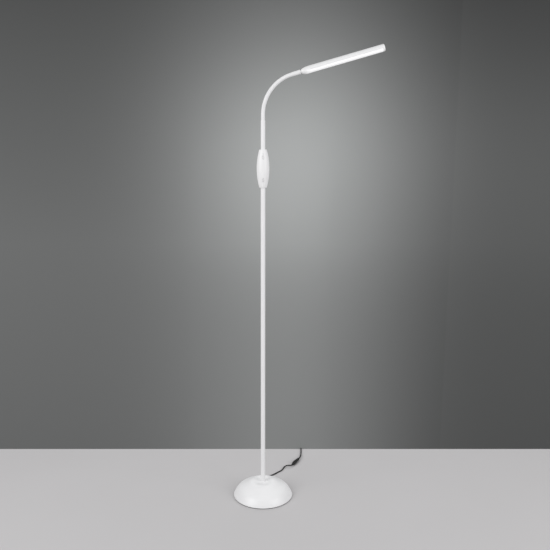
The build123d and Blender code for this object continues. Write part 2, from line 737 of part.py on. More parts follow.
def arm_ferrule():
    """Smooth ferrule at the arm's end: ball below, slight flare, socket for the spindle."""
    plane = Plane(origin=JOINTS[-1], x_dir=REACH, z_dir=(0, 1, 0))
    shoulder = FERRULE_RADIUS * tan(radians(SHOULDER_ANGLE))
    tail_hole = SPINDLE_TAIL_RADIUS + FIT
    seat = FERRULE_LENGTH - SPINDLE_TAIL
    flare = FERRULE_RADIUS + FERRULE_FLARE
    with BuildPart() as ferrule:
        with BuildSketch(plane):
            with BuildLine():
                ball = ball_line()
                Polyline(
                    ball @ 1,
                    (shoulder, FERRULE_RADIUS),
                    (FERRULE_LENGTH - 2 * FERRULE_FLARE, FERRULE_RADIUS),
                    (FERRULE_LENGTH, flare),
                    (FERRULE_LENGTH, tail_hole),
                    (seat, tail_hole),
                    (seat, ARM_BORE),
                    ball @ 0,
                )
            make_face()
        revolve(axis=Axis(plane.origin, plane.x_dir))
    save(ferrule, "arm_ferrule")


# ---- swivel ----
def swivel():
    """Hollow spindle in the ferrule, the dark bush in the gap and the clip inside the nose."""
    clip_end = CLIP_DEPTH + CLIP_THICKNESS
    groove = SPINDLE_RADIUS - CLIP_GROOVE
    turned(
        "swivel_spindle",
        HEAD_SIDE,
        [
            (-NECK_GAP - SPINDLE_TAIL, SPINDLE_BORE),
            (clip_end + SPINDLE_END, SPINDLE_BORE),
            (clip_end + SPINDLE_END, SPINDLE_RADIUS),
            (clip_end + FIT, SPINDLE_RADIUS),
            (clip_end + FIT, groove),
            (CLIP_DEPTH - FIT, groove),
            (CLIP_DEPTH - FIT, SPINDLE_RADIUS),
            (-NECK_GAP, SPINDLE_RADIUS),
            (-NECK_GAP, SPINDLE_TAIL_RADIUS),
            (-NECK_GAP - SPINDLE_TAIL, SPINDLE_TAIL_RADIUS),
        ],
    )
    tube("neck_bush", HEAD_SIDE, -NECK_GAP, -FIT, NECK_RADIUS, SPINDLE_RADIUS + FIT)
    with BuildPart() as clip:
        with BuildSketch(HEAD_SECTION.offset(CLIP_DEPTH)):
            Circle(CLIP_RADIUS)
            Circle(groove + FIT, mode=Mode.SUBTRACT)
            Rectangle(2 * groove, 2 * CLIP_RADIUS, align=(Align.CENTER, Align.MAX), mode=Mode.SUBTRACT)
        extrude(amount=CLIP_THICKNESS)
    save(clip, "swivel_clip")


# ---- head ----
def spigot_arcs(start, length):
    """Two arcs of a ring inside the head's tube, above its rails and below its snaps."""
    low = SPLIT_DROP + SNAP_ROOT + 2 * FIT
    high = BAR_TOP + 2 * FIT + RAIL_THICKNESS
    with BuildSketch(HEAD_SECTION.offset(start)) as arcs:
        Circle(HEAD_BORE - FIT)
        Circle(HEAD_BORE - SPIGOT_WALL, mode=Mode.SUBTRACT)
        with Locations((0, (high - low) / 2)):
            Rectangle(2 * HEAD_RADIUS, high + low, mode=Mode.SUBTRACT)
    extrude(arcs.sketch, amount=length)


def head_nose():
    """Bullet-shaped cap that turns on the spindle; its top line rises later than its underside."""
    with BuildPart() as nose:
        sections = ((0, NOSE_TIP_RADIUS, 0), NOSE_FLARE, NOSE_BELLY, (NOSE_LENGTH, HEAD_RADIUS, 0))
        for depth, radius, rise in sections:
            with BuildSketch(HEAD_SECTION.offset(depth)):
                with Locations((0, rise)):
                    Circle(radius)
        loft()
        spigot_arcs(NOSE_LENGTH, SPIGOT_LENGTH)
        with BuildSketch(HEAD_SIDE):
            with BuildLine():
                Polyline(
                    (-1, 0),
                    (-1, SPINDLE_RADIUS + RUN),
                    (CLIP_DEPTH - PLAY, SPINDLE_RADIUS + RUN),
                    (CLIP_DEPTH - PLAY, NOSE_CAVITY_RADIUS),
                    (NOSE_LENGTH - SPIGOT_LENGTH, NOSE_CAVITY_RADIUS),
                    (NOSE_LENGTH, HEAD_BORE - SPIGOT_WALL),
                    (NOSE_LENGTH + SPIGOT_LENGTH, HEAD_BORE - SPIGOT_WALL),
                    (NOSE_LENGTH + SPIGOT_LENGTH, 0),
                    close=True,
                )
            make_face()
        revolve(axis=Axis(HEAD_START, REACH), mode=Mode.SUBTRACT)
    save(nose, "head_nose")


def head_housing():
    """Extruded upper shell with rails for the heat bar, and holes for the cap's two screws."""
    with BuildPart() as housing:
        with BuildSketch(HEAD_SECTION.offset(NOSE_LENGTH)):
            Circle(HEAD_RADIUS)
            Circle(HEAD_BORE, mode=Mode.SUBTRACT)
            with Locations((0, -SPLIT_DROP)):
                Rectangle(2 * HEAD_RADIUS, HEAD_RADIUS, align=(Align.CENTER, Align.MAX), mode=Mode.SUBTRACT)
        with BuildSketch(HEAD_SECTION.offset(NOSE_LENGTH)):
            with Locations((0, RAIL_BASE), (0, BAR_TOP + FIT)):
                Rectangle(2 * HEAD_RADIUS, RAIL_THICKNESS, align=(Align.CENTER, Align.MIN))
            Rectangle(2 * (BAR_HALF_WIDTH - RAIL_REACH), HEAD_RADIUS, mode=Mode.SUBTRACT)
            Circle(HEAD_RADIUS - HEAD_WALL / 2, mode=Mode.INTERSECT)
        extrude(amount=HEAD_BODY_END - NOSE_LENGTH)
        for distance, angle in CAP_SCREWS:
            cap_screw_hole(screw_plane(distance, angle))
    save(housing, "head_housing")


def screw_plane(distance, angle):
    """Plane on the head's axis that looks out along one of the cap's side screws."""
    out = Vector(0, -cos(radians(angle)), 0) + LIFT * sin(radians(angle))
    return Plane(origin=HEAD_START + REACH * (HEAD_LENGTH - distance), x_dir=REACH, z_dir=out)


def cap_screw_hole(plane):
    """Shank hole and flat seat of one side screw."""
    with BuildSketch(plane.offset(HEAD_BORE - SPIGOT_WALL - 1)) as shank:
        Circle(CAP_SCREW_RADIUS + FIT)
    extrude(shank.sketch, amount=HEAD_WALL + SPIGOT_WALL + 2, mode=Mode.SUBTRACT)
    with BuildSketch(plane.offset(HEAD_RADIUS - CAP_SCREW_HEAD_HEIGHT)) as seat:
        Circle(CAP_SCREW_HEAD + FIT)
    extrude(seat.sketch, amount=CAP_SCREW_HEAD_HEIGHT + 1, mode=Mode.SUBTRACT)


def diffuser():
    """Milky lower shell, snapped into the housing with two upright lips."""
    snap_top = RAIL_BASE - FIT
    with BuildPart() as cover:
        with BuildSketch(HEAD_SECTION.offset(NOSE_LENGTH)):
            Circle(HEAD_RADIUS)
            Circle(HEAD_BORE, mode=Mode.SUBTRACT)
            with Locations((0, -SPLIT_DROP - FIT)):
                upper_half = (Align.CENTER, Align.MIN)
                Rectangle(2 * HEAD_RADIUS, 2 * HEAD_RADIUS, align=upper_half, mode=Mode.SUBTRACT)
            for side in (-1, 1):
                centre = side * (HEAD_BORE - SNAP_INSET - SNAP_WIDTH / 2)
                with Locations((centre, snap_top)):
                    Rectangle(
                        SNAP_WIDTH,
                        snap_top + SPLIT_DROP + SNAP_ROOT,
                        align=(Align.CENTER, Align.MAX),
                    )
        extrude(amount=HEAD_BODY_END - NOSE_LENGTH)
    save(cover, "diffuser")


def led_strip():
    """Heat bar in the rails, the LED board under it and the row of LEDs."""
    bar_length = BAR_END - BAR_START
    with BuildPart() as bar:
        with BuildSketch(HEAD_SECTION.offset(BAR_START)):
            with Locations((0, BAR_RISE)):
                Rectangle(2 * BAR_HALF_WIDTH, BAR_THICKNESS, align=(Align.CENTER, Align.MIN))
        extrude(amount=bar_length)
    save(bar, "heat_bar")
    with BuildPart() as board:
        with BuildSketch(HEAD_SECTION.offset(BAR_START)):
            with Locations((0, BAR_RISE)):
                Rectangle(LED_BOARD_WIDTH, LED_BOARD_THICKNESS, align=(Align.CENTER, Align.MAX))
        extrude(amount=bar_length)
    save(board, "led_board")
    underside = BAR_RISE - LED_BOARD_THICKNESS
    middle = HEAD_START + REACH * (BAR_START + BAR_END) / 2 + LIFT * underside
    face = Plane(origin=middle, x_dir=REACH, z_dir=-LIFT)
    with BuildPart() as leds:
        with BuildSketch(face):
            with GridLocations(bar_length / LED_COUNT, 0, LED_COUNT, 1):
                Rectangle(LED_SIDE, LED_SIDE)
        extrude(amount=LED_HEIGHT)
    save(leds, "led_chips")


def end_cap():
    """Rounded cap with two tongues inside the tube, held by side screws."""
    with BuildPart() as cap:
        with BuildSketch(HEAD_SIDE):
            with BuildLine():
                rim = (HEAD_LENGTH - CAP_ROUND, HEAD_RADIUS)
                face = (HEAD_LENGTH, HEAD_RADIUS - CAP_ROUND)
                Polyline((HEAD_BODY_END, 0), (HEAD_BODY_END, HEAD_RADIUS), rim)
                TangentArc(rim, face, tangent=(1, 0))
                Polyline(face, (HEAD_LENGTH, 0), (HEAD_BODY_END, 0))
            make_face()
        revolve(axis=Axis(HEAD_START, REACH))
        spigot_arcs(HEAD_BODY_END, -CAP_SPIGOT)
        for distance, angle in CAP_SCREWS:
            cap_screw_hole(screw_plane(distance, angle))
    save(cap, "end_cap")


def cap_screws():
    """Two small flat-head screws in the head's side near the tip."""
    with BuildPart() as screws:
        for distance, angle in CAP_SCREWS:
            plane = screw_plane(distance, angle)
            with BuildSketch(plane.offset(HEAD_BORE - SPIGOT_WALL)):
                Circle(CAP_SCREW_RADIUS)
            extrude(amount=HEAD_WALL + SPIGOT_WALL - CAP_SCREW_HEAD_HEIGHT)
            with BuildSketch(plane.offset(HEAD_RADIUS - CAP_SCREW_HEAD_HEIGHT)):
                Circle(CAP_SCREW_HEAD)
            extrude(amount=CAP_SCREW_HEAD_HEIGHT)
    save(screws, "cap_screws")


# ---- lead ----
def corner_radii(points):
    """Radius of each corner: 0.45 of its shorter run over the tangent of half its turn."""
    corners = [Vector(*point) for point in points]
    radii = []
    for before, corner, after in zip(corners, corners[1:], corners[2:]):
        run_in = corner - before
        run_out = after - corner
        half_turn = radians(run_in.get_angle(run_out)) / 2
        radii.append(0.45 * min(run_in.length, run_out.length) / tan(half_turn))
    return radii


def cord(label, points, radius=CORD_RADIUS, radii=None):
    """Faceted tube along straight runs joined by tangent arcs; prints its radii and volume."""
    radii = radii or corner_radii(points)
    with BuildPart() as lead:
        with BuildLine() as path:
            FilletPolyline(*points, radius=radii)
        line = path.wires()[0]
        with BuildSketch(Plane(origin=line @ 0, z_dir=line % 0)) as section:
            RegularPolygon(radius, CORD_SIDES)
        sweep(path=line)
    expected = section.sketch.area * line.length
    print(label, "length", round(line.length, 1), "radii", [round(r, 1) for r in radii])
    print(label, "volume", round(lead.part.volume, 1), "expected", round(expected, 1))
    save(lead, label)


def inner_wires():
    """The lead inside the lamp: up the pole to the board, and on up to the arm's root."""
    board_back = board_front() - BOARD_THICKNESS
    low = POD_BOTTOM + POD_LAND + WIRE_INLET
    high = POD_TOP - POD_LAND - WIRE_INLET
    cord(
        "supply_wire",
        [(0, GLAND_END, GLAND_HEIGHT), (0, 0, GLAND_HEIGHT), (0, 0, low), (0, -board_back, low)],
        radii=[WIRE_BEND, WIRE_HOOK],
    )
    cord(
        "arm_wire",
        [(0, -board_back, high), (0, 0, high), (0, 0, ARM_START - SOCKET_BALL_RADIUS)],
        radius=UPPER_WIRE_RADIUS,
        radii=[WIRE_HOOK],
    )


def connector():
    """In-line connector: socket half on the lamp's lead, plug half on the adapter's lead."""
    hole = BARREL_RADIUS + FIT
    depth = SOCKET_LENGTH - BARREL_LENGTH - FIT
    turned(
        "socket_grip",
        CONNECTOR,
        [
            (0, 0),
            (0, SOCKET_TAIL_RADIUS),
            (SOCKET_TAIL, SOCKET_RADIUS),
            (SOCKET_LENGTH, SOCKET_RADIUS),
            (SOCKET_LENGTH, hole),
            (depth, hole),
            (depth, 0),
        ],
    )
    tube("socket_pin", CONNECTOR, depth, SOCKET_LENGTH - 1, BARREL_BORE - FIT, BARREL_BORE / 3)
    total = SOCKET_LENGTH + PLUG_LENGTH
    turned(
        "plug_grip",
        CONNECTOR,
        [
            (SOCKET_LENGTH, 0),
            (SOCKET_LENGTH, PLUG_RADIUS),
            (SOCKET_LENGTH + PLUG_HEAD, PLUG_RADIUS),
            (total, PLUG_TAIL_RADIUS),
            (total, 0),
        ],
    )
    tube("plug_barrel", CONNECTOR, SOCKET_LENGTH - BARREL_LENGTH, SOCKET_LENGTH, BARREL_RADIUS, BARREL_BORE)


def coil_arcs():
    """Half turns of the put-away coil: winding in on the floor, climbing, winding out on top."""
    across = COIL_CENTRE[0] + COIL_RADIUS
    y = COIL_CENTRE[1]
    radius = COIL_RADIUS
    side = 1
    height = CORD_REST
    edges = []
    for _ in range(COIL_HALF_TURNS):
        centre = across - side * radius
        edges.append(
            ThreePointArc(
                (across, y, height),
                (centre, y + side * radius, height),
                (across - 2 * side * radius, y, height),
            )
        )
        across -= 2 * side * radius
        side = -side
        radius -= COIL_PITCH / 2
    edges += climb(across, y, height, side, radius)
    across -= 2 * side * radius
    side = -side
    height += COIL_PITCH
    for _ in range(COIL_HALF_TURNS - 1):
        radius += COIL_PITCH / 2
        centre = across - side * radius
        edges.append(
            ThreePointArc(
                (across, y, height),
                (centre, y + side * radius, height),
                (across - 2 * side * radius, y, height),
            )
        )
        across -= 2 * side * radius
        side = -side
    return edges, Vector(across, y, height)


def climb(across, y, height, side, radius):
    """Half turn that climbs one layer, as two equal arcs with matching directions."""
    start = Vector(across, y, height)
    end = Vector(across - 2 * side * radius, y, height + COIL_PITCH)
    heading = Vector(0, side, 0)
    middle = (start + end) / 2 + heading * ((end - start).length / 2)
    first = TangentArc(start, middle, tangent=heading)
    second = TangentArc(middle, end, tangent=first % 1)
    return [first, second]


def lead_coil():
    """The put-away coil as one unbroken tube; prints its length and its least gap to itself."""
    with BuildPart() as coil:
        with BuildLine() as path:
            coil_arcs()
        line = path.wires()[0]
        with BuildSketch(Plane(origin=line @ 0, z_dir=line % 0)) as section:
            RegularPolygon(CORD_RADIUS, CORD_SIDES)
        sweep(path=line)
    expected = section.sketch.area * line.length
    print("lead_coil length", round(line.length, 1), "least gap", round(least_gap(line), 2))
    print("lead_coil volume", round(coil.part.volume, 1), "expected", round(expected, 1))
    save(coil, "lead_coil")


def least_gap(line):
    """Least distance between stretches of the coil that are over half a turn apart, less the cord."""
    count = 320
    points = [line @ (index / count) for index in range(count + 1)]
    spacing = line.length / count
    apart = int(2 * COIL_RADIUS / spacing)
    least = min(
        (points[i] - points[j]).length
        for i in range(len(points))
        for j in range(i + apart, len(points))
    )
    return least - 2 * CORD_RADIUS


def leads():
    """The free stretches of the lead, each from face to face."""
    start = (COIL_CENTRE[0] + COIL_RADIUS, COIL_CENTRE[1], CORD_REST)
    top = (start[0], start[1], CORD_REST + COIL_PITCH)
    gland = (0, GLAND_END, GLAND_HEIGHT)
    cord("supply_cord", [gland, *SUPPLY_ROUTE, tuple(CONNECTOR_INLET), tuple(CONNECTOR_TAIL)])
    cord("adapter_lead", [tuple(CONNECTOR_END), tuple(CONNECTOR_OUTLET), *LEAD_ROUTE, start])
    cord("adapter_tail", [top, *TAIL_ROUTE, tuple(ADAPTER_ENTRY)])


def adapter():
    """Plug-in power adapter on its back, pins up, with a tapered relief for the lead."""
    entry = Plane(origin=ADAPTER_ENTRY, x_dir=(0, 1, 0), z_dir=(0, 0, 1))
    turned(
        "adapter_relief",
        entry,
        [(0, 0), (0, RELIEF_TAIL_RADIUS), (RELIEF_LENGTH, RELIEF_RADIUS), (RELIEF_LENGTH, 0)],
    )
    case_start = ADAPTER_ENTRY.Y + RELIEF_LENGTH
    with BuildPart() as case:
        with BuildSketch(Plane(origin=(ADAPTER_ENTRY.X, case_start, 0))):
            Rectangle(ADAPTER_WIDTH, ADAPTER_LENGTH, align=(Align.CENTER, Align.MIN))
        extrude(amount=ADAPTER_HEIGHT)
        fillet(case.edges().filter_by(Axis.Z), radius=ADAPTER_ROUND)
        chamfer(case.faces().sort_by(Axis.Z)[-1].edges(), length=ADAPTER_ROUND / 3)
        with BuildSketch(pin_plane(case_start)):
            with GridLocations(PIN_SPACING, 0, 2, 1):
                Circle(PIN_RADIUS + FIT)
        extrude(amount=-PIN_ROOT, mode=Mode.SUBTRACT)
    save(case, "adapter_case")
    with BuildPart() as pins:
        with BuildSketch(pin_plane(case_start).offset(-PIN_ROOT)):
            with GridLocations(PIN_SPACING, 0, 2, 1):
                Circle(PIN_RADIUS)
        extrude(amount=PIN_ROOT + PIN_LENGTH)
    save(pins, "adapter_pins")


def pin_plane(case_start):
    """Top face of the adapter, centred between its pins."""
    return Plane(origin=(ADAPTER_ENTRY.X, case_start + ADAPTER_LENGTH - PIN_INSET, ADAPTER_HEIGHT))


os.makedirs("parts", exist_ok=True)
base_pad()
base_plate()
plate_screws()
base_weight()
base_cover()
cord_gland()
clamp_parts()
pole()
spindle = pod_shell()
pod_front(spindle)
pod_rear(spindle)
pod_screws()
circuit_board()
tact_switches()
button("power_button", BUTTON_OFFSET)
button("dimmer_button", -BUTTON_OFFSET)
indicator_lens()
collars()
upper_start = POD_TOP - POD_LAND - COLLAR_THICKNESS
tube("upper_tube", UPRIGHT, upper_start, UPPER_TOP, UPPER_RADIUS, UPPER_BORE)
arm_root()
for link_number in range(1, LINK_COUNT + 1):
    arm_link(link_number)
arm_ferrule()
swivel()
head_nose()
head_housing()
diffuser()
led_strip()
end_cap()
cap_screws()
inner_wires()
connector()
leads()
lead_coil()
adapter()
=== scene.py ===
from math import cos, pi, radians, sin

import bmesh
import bpy
import numpy as np
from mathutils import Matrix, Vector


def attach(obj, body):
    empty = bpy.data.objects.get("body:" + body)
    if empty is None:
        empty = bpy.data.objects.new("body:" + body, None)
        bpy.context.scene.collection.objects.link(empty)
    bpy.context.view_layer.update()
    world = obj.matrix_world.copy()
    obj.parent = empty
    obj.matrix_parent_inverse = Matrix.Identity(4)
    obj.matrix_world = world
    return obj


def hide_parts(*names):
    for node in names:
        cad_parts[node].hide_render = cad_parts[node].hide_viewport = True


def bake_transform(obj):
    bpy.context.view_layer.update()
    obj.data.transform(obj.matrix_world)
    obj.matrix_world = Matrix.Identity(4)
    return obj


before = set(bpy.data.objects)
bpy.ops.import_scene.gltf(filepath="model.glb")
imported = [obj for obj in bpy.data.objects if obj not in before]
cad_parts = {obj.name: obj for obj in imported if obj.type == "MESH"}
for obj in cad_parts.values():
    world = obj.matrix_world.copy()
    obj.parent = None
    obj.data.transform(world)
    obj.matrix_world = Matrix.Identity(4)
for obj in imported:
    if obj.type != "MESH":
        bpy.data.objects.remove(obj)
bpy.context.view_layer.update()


# ---- Room ----
# A pale studio floor that meets a grey wall just behind the lamp. The wall's colour holds painted
# light: lightest behind the pod and darker to the sides. The wall shows only from its front, and it
# casts no shade, so the light behind the lamp passes through it.
class Field:
    """One socket of a finish, which takes part in Python arithmetic through Math nodes."""

    def __init__(self, finish, socket):
        self.finish = finish
        self.socket = socket

    def join(self, operation, first, second):
        """One Math node on two values, each a number or a field."""
        return self.finish.node("ShaderNodeMath", {"operation": operation}, {0: first, 1: second})

    def __add__(self, other):
        return self.join("ADD", self, other)

    def __radd__(self, other):
        return self.join("ADD", other, self)

    def __sub__(self, other):
        return self.join("SUBTRACT", self, other)

    def __rsub__(self, other):
        return self.join("SUBTRACT", other, self)

    def __mul__(self, other):
        return self.join("MULTIPLY", self, other)

    def __rmul__(self, other):
        return self.join("MULTIPLY", other, self)

    def __truediv__(self, other):
        return self.join("DIVIDE", self, other)

    def __pow__(self, other):
        return self.join("POWER", self, other)


class Finish:
    """A named material round one Principled shader; constants are set on the shader's own sockets."""

    def __init__(self, name, **constants):
        self.material = bpy.data.materials.new(name)
        self.material.use_nodes = True
        self.tree = self.material.node_tree
        self.tree.nodes.clear()
        self.shader = self.tree.nodes.new("ShaderNodeBsdfPrincipled")
        self.output = self.tree.nodes.new("ShaderNodeOutputMaterial")
        self.tree.links.new(self.shader.outputs[0], self.output.inputs[0])
        for socket, value in constants.items():
            self.shader.inputs[socket.replace("_", " ")].default_value = value
        self.place = self.node("ShaderNodeTexCoord", out="Object")

    def node(self, kind, settings=None, inputs=None, out=0):
        """Add a node: its settings first, then the values or links of its sockets."""
        added = self.tree.nodes.new(kind)
        for name, value in (settings or {}).items():
            setattr(added, name, value)
        for name, value in (inputs or {}).items():
            if isinstance(value, Field):
                self.tree.links.new(value.socket, added.inputs[name])
            else:
                added.inputs[name].default_value = value
        return Field(self, added.outputs[out])

    def noise(self, scale, detail=2.0, roughness=0.5, stretch=(1, 1, 1)):
        """Grain in the piece's own frame, finer the higher its scale, stretched along an axis."""
        spread = self.node("ShaderNodeMapping", {}, {"Vector": self.place, "Scale": stretch})
        sizes = {"Vector": spread, "Scale": scale, "Detail": detail, "Roughness": roughness}
        return self.node("ShaderNodeTexNoise", {}, sizes)

    def clear(self, field, low, high):
        """A field brought from the range low..high to 0..1, clamped."""
        limits = {"Value": field, "From Min": low, "From Max": high}
        return self.node("ShaderNodeMapRange", {"clamp": True}, limits)

    def bell(self, field):
        """e to the minus the field's square."""
        return self.node("ShaderNodeMath", {"operation": "EXPONENT"}, {0: -1.0 * field**2.0})

    def feed(self, socket, field):
        """Link a field to one of the shader's own sockets."""
        self.tree.links.new(field.socket, self.shader.inputs[socket])

    def tint(self, share, first, second, socket="Base Color"):
        """Feed a colour socket with the mix of two colours by a share from 0 to 1."""
        colours = {0: share, 6: first, 7: second}
        self.feed(socket, self.node("ShaderNodeMix", {"data_type": "RGBA"}, colours, out=2))

    def bump(self, height, distance):
        """Relief of a given depth in metres from a height field."""
        self.feed("Normal", self.node("ShaderNodeBump", {}, {"Height": height, "Distance": distance}))

    def dress(self, *pieces):
        """Give each piece this material alone."""
        for piece in pieces:
            piece.data.materials.clear()
            piece.data.materials.append(self.material)


def rgb(level, green=None, blue=None):
    """An opaque colour, grey where only one level is given."""
    return (level, level if green is None else green, level if blue is None else blue, 1.0)


def surface(name, points, loop_rows=False, loop_columns=False, caps=()):
    """A mesh from a grid of points: rows by columns by xyz, each way open or closed in a loop.

    caps lists the rows that are closed with one flat face each.
    """
    rows, columns = points.shape[:2]
    index = np.arange(rows * columns).reshape(rows, columns)
    lids = [index[row].tolist() for row in caps]
    if loop_rows:
        index = np.vstack([index, index[:1]])
    if loop_columns:
        index = np.hstack([index, index[:, :1]])
    quads = np.stack([index[:-1, :-1], index[:-1, 1:], index[1:, 1:], index[1:, :-1]], axis=-1)
    mesh = bpy.data.meshes.new(name)
    mesh.from_pydata(points.reshape(-1, 3).tolist(), [], quads.reshape(-1, 4).tolist() + lids)
    return finished(name, mesh)


SMOOTH_UNDER = radians(32)


def finished(name, mesh):
    """Weld a mesh, turn its faces outwards, smooth it up to an angle, and put it in the scene."""
    work = bmesh.new()
    work.from_mesh(mesh)
    bmesh.ops.remove_doubles(work, verts=work.verts, dist=1e-6)
    bmesh.ops.dissolve_degenerate(work, dist=1e-7, edges=work.edges)
    bmesh.ops.recalc_face_normals(work, faces=work.faces)
    work.to_mesh(mesh)
    work.free()
    mesh.shade_smooth()
    mesh.set_sharp_from_angle(angle=SMOOTH_UNDER)
    piece = bpy.data.objects.new(name, mesh)
    bpy.context.collection.objects.link(piece)
    return piece


ROOM_SIDE = 6.0
floor_front = [(-ROOM_SIDE, -ROOM_SIDE, 0.0), (ROOM_SIDE, -ROOM_SIDE, 0.0)]
floor_back = [(-ROOM_SIDE, ROOM_SIDE, 0.0), (ROOM_SIDE, ROOM_SIDE, 0.0)]
room_floor = surface("room_floor", np.array([floor_front, floor_back]))
floor_finish = Finish("floor_paint", Roughness=0.9)
floor_grain = floor_finish.noise(3.0, 3.0)
floor_finish.tint(floor_grain, rgb(0.511, 0.502, 0.506), rgb(0.533, 0.524, 0.528))
floor_finish.dress(room_floor)

WALL_Y = 0.366
WALL_FOOT = -0.05
wall_low = [(-ROOM_SIDE, WALL_Y, WALL_FOOT), (ROOM_SIDE, WALL_Y, WALL_FOOT)]
wall_high = [(-ROOM_SIDE, WALL_Y, ROOM_SIDE), (ROOM_SIDE, WALL_Y, ROOM_SIDE)]
room_wall = surface("room_wall", np.array([wall_low, wall_high]))
wall_finish = Finish("wall_paint", Roughness=0.95)
wall_x = wall_finish.node("ShaderNodeSeparateXYZ", {}, {0: wall_finish.place}, out="X")
wall_z = wall_finish.node("ShaderNodeSeparateXYZ", {}, {0: wall_finish.place}, out="Z")
# The wall's painted light is a side light that falls off to the right, and a glow round one
# point. Both fade towards the top, and right of a faint upright edge the level is a hair higher.
GLOW_X, GLOW_Z = 0.119, 1.25
GLOW_WIDTH, GLOW_HEIGHT = 0.411, 0.414
wall_upper = wall_finish.clear(wall_z, 0.837, 2.275)
wall_height = wall_finish.bell((wall_z - GLOW_Z) / GLOW_HEIGHT)
wall_side = 0.133 - (0.0654 - 0.0342 * wall_height) * wall_finish.clear(wall_x, -0.274, 0.736)
wall_glow = wall_finish.bell((wall_x - GLOW_X) / GLOW_WIDTH) * (0.131 + 0.264 * wall_height)
wall_painted_light = wall_side * (1.0 - 0.881 * wall_upper) + wall_glow * (1.0 - 0.901 * wall_upper)
wall_painted_light = wall_painted_light + 0.006 * wall_finish.clear(wall_x, 0.712, 0.716)
wall_finish.tint(wall_painted_light, rgb(0.0), rgb(0.985, 1.012, 1.002))
wall_finish.dress(room_wall)
wall_back = wall_finish.node("ShaderNodeNewGeometry", out="Backfacing")
wall_clear = wall_finish.node("ShaderNodeBsdfTransparent")
wall_front = Field(wall_finish, wall_finish.shader.outputs[0])
wall_sides = wall_finish.node("ShaderNodeMixShader", {}, {0: wall_back, 1: wall_front, 2: wall_clear})
wall_finish.tree.links.new(wall_sides.socket, wall_finish.output.inputs[0])
room_wall.visible_diffuse = False
room_wall.visible_shadow = False

# ---- Camera and lights ----
# A standing person's view of the whole lamp from its front. Two soft boxes light it from the
# left and the right, a weaker one from behind, and the studio's pale walls fill the rest.
VIEW_HEIGHT = 1.231
VIEW_DISTANCE = 2.274
VIEW_DIP = 11.04
PICTURE_WIDTH = 550
view_point = bpy.data.cameras.new("view_point")
view_point.sensor_width = 36.0
view_point.lens = 45.82
view_point.shift_x = 12 / PICTURE_WIDTH
camera = bpy.data.objects.new("view_point", view_point)
camera.location = (0.0, -VIEW_DISTANCE, VIEW_HEIGHT)
camera.rotation_euler = (radians(90 - VIEW_DIP), 0.0, 0.0)
bpy.context.collection.objects.link(camera)
bpy.context.scene.camera = camera


def soft_box(name, size, power, place, aim):
    """A square area light at a place, turned towards a point."""
    lamp = bpy.data.lights.new(name, "AREA")
    lamp.size = size
    lamp.energy = power
    holder = bpy.data.objects.new(name, lamp)
    holder.location = place
    holder.rotation_euler = (Vector(aim) - Vector(place)).to_track_quat("-Z", "Y").to_euler()
    bpy.context.collection.objects.link(holder)


soft_box("key_box", 1.8, 50.5, (-2.2, -1.7, 1.9), (0.0, 0.0, 0.8))
soft_box("fill_box", 1.8, 35.0, (2.2, -1.5, 1.6), (0.0, 0.0, 0.8))
soft_box("back_box", 2.0, 16.0, (0.2, 1.7, 2.0), (0.0, 0.0, 0.3))
world = bpy.data.worlds.new("studio")
world.use_nodes = True
world.node_tree.nodes["Background"].inputs["Color"].default_value = (0.8, 0.8, 0.81, 1.0)
world.node_tree.nodes["Background"].inputs["Strength"].default_value = 0.555
bpy.context.scene.world = world
bpy.context.scene.view_settings.view_transform = "Standard"

# ---- Floor pad, plate and weight ----
# A ring of black foam under a zinc-plated steel plate, which four screws hold to a cast-iron
# weight. They are the lamp's ballast. The foam ring is drawn out nearly to the cover's rim, so its
# black edge is painted shade: it stands in for the shadow in the gap under the rim.
PAD_HEIGHT = 0.0025
PAD_BORE = 0.022
# Painted shade: the black foam reaches almost to the cover's rim to stand in for the shadow under it.
PAD_SHADE_RADIUS = 0.1012
foam = Finish("black_foam", Roughness=0.95)
foam_cells = foam.noise(1400.0, 3.0, 0.6)
foam.tint(foam_cells, rgb(0.012), rgb(0.035))
foam.bump(foam_cells, 0.0004)


def turned(name, profile, origin=(0, 0, 0), axis=(0, 0, 1), segments=120, closed=True):
    """A surface of revolution: (along, radius) pairs carried round an axis through a point."""
    along, radius = (np.array(column, float) for column in zip(*profile))
    axis = np.array(axis, float)
    side = np.cross(axis, np.roll(axis, 1))
    side /= np.linalg.norm(side)
    other = np.cross(axis, side)
    turn = np.arange(segments) * (2 * pi / segments)
    around = np.cos(turn)[:, None] * side + np.sin(turn)[:, None] * other
    points = np.array(origin, float) + along[:, None, None] * axis + radius[:, None, None] * around
    return surface(name, points, loop_rows=closed, loop_columns=True)


def tube_wall(low, high, bore, radius):
    """Profile of a plain tube: up its bore and back down its outside."""
    return [(low, bore), (high, bore), (high, radius), (low, radius)]


def eased(piece, width, steps=3, limit=40.0):
    """Round a piece's edges that are sharper than a limit in degrees."""
    bevel = piece.modifiers.new("edges", "BEVEL")
    bevel.width = width
    bevel.segments = steps
    bevel.limit_method = "ANGLE"
    bevel.angle_limit = radians(limit)
    return piece


def made(piece, body, finish, slot, *nodes):
    """Put a finished piece on its body, with its material and its CAD nodes. The slot is not used."""
    finish.dress(piece)
    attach(piece, body)
    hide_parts(*nodes)


pad_ring = turned("pad_ring", tube_wall(0.0, PAD_HEIGHT, PAD_BORE, PAD_SHADE_RADIUS))
made(eased(pad_ring, 0.0006), "stand", foam, "black_foam", "base_pad")


def nodes_named(*names):
    """The objects of CAD nodes, by the nodes' names."""
    return [bpy.data.objects[name] for name in names]


zinc = Finish("zinc_plate", Metallic=1.0)
zinc_grain = zinc.noise(260.0, 4.0, 0.6, (1.0, 1.0, 0.08))
zinc.tint(zinc_grain, rgb(0.48, 0.49, 0.50), rgb(0.66, 0.67, 0.69))
zinc.feed("Roughness", 0.26 + 0.22 * zinc_grain)
zinc.bump(zinc_grain, 0.00005)
zinc.dress(*nodes_named("base_plate", "plate_screws"))

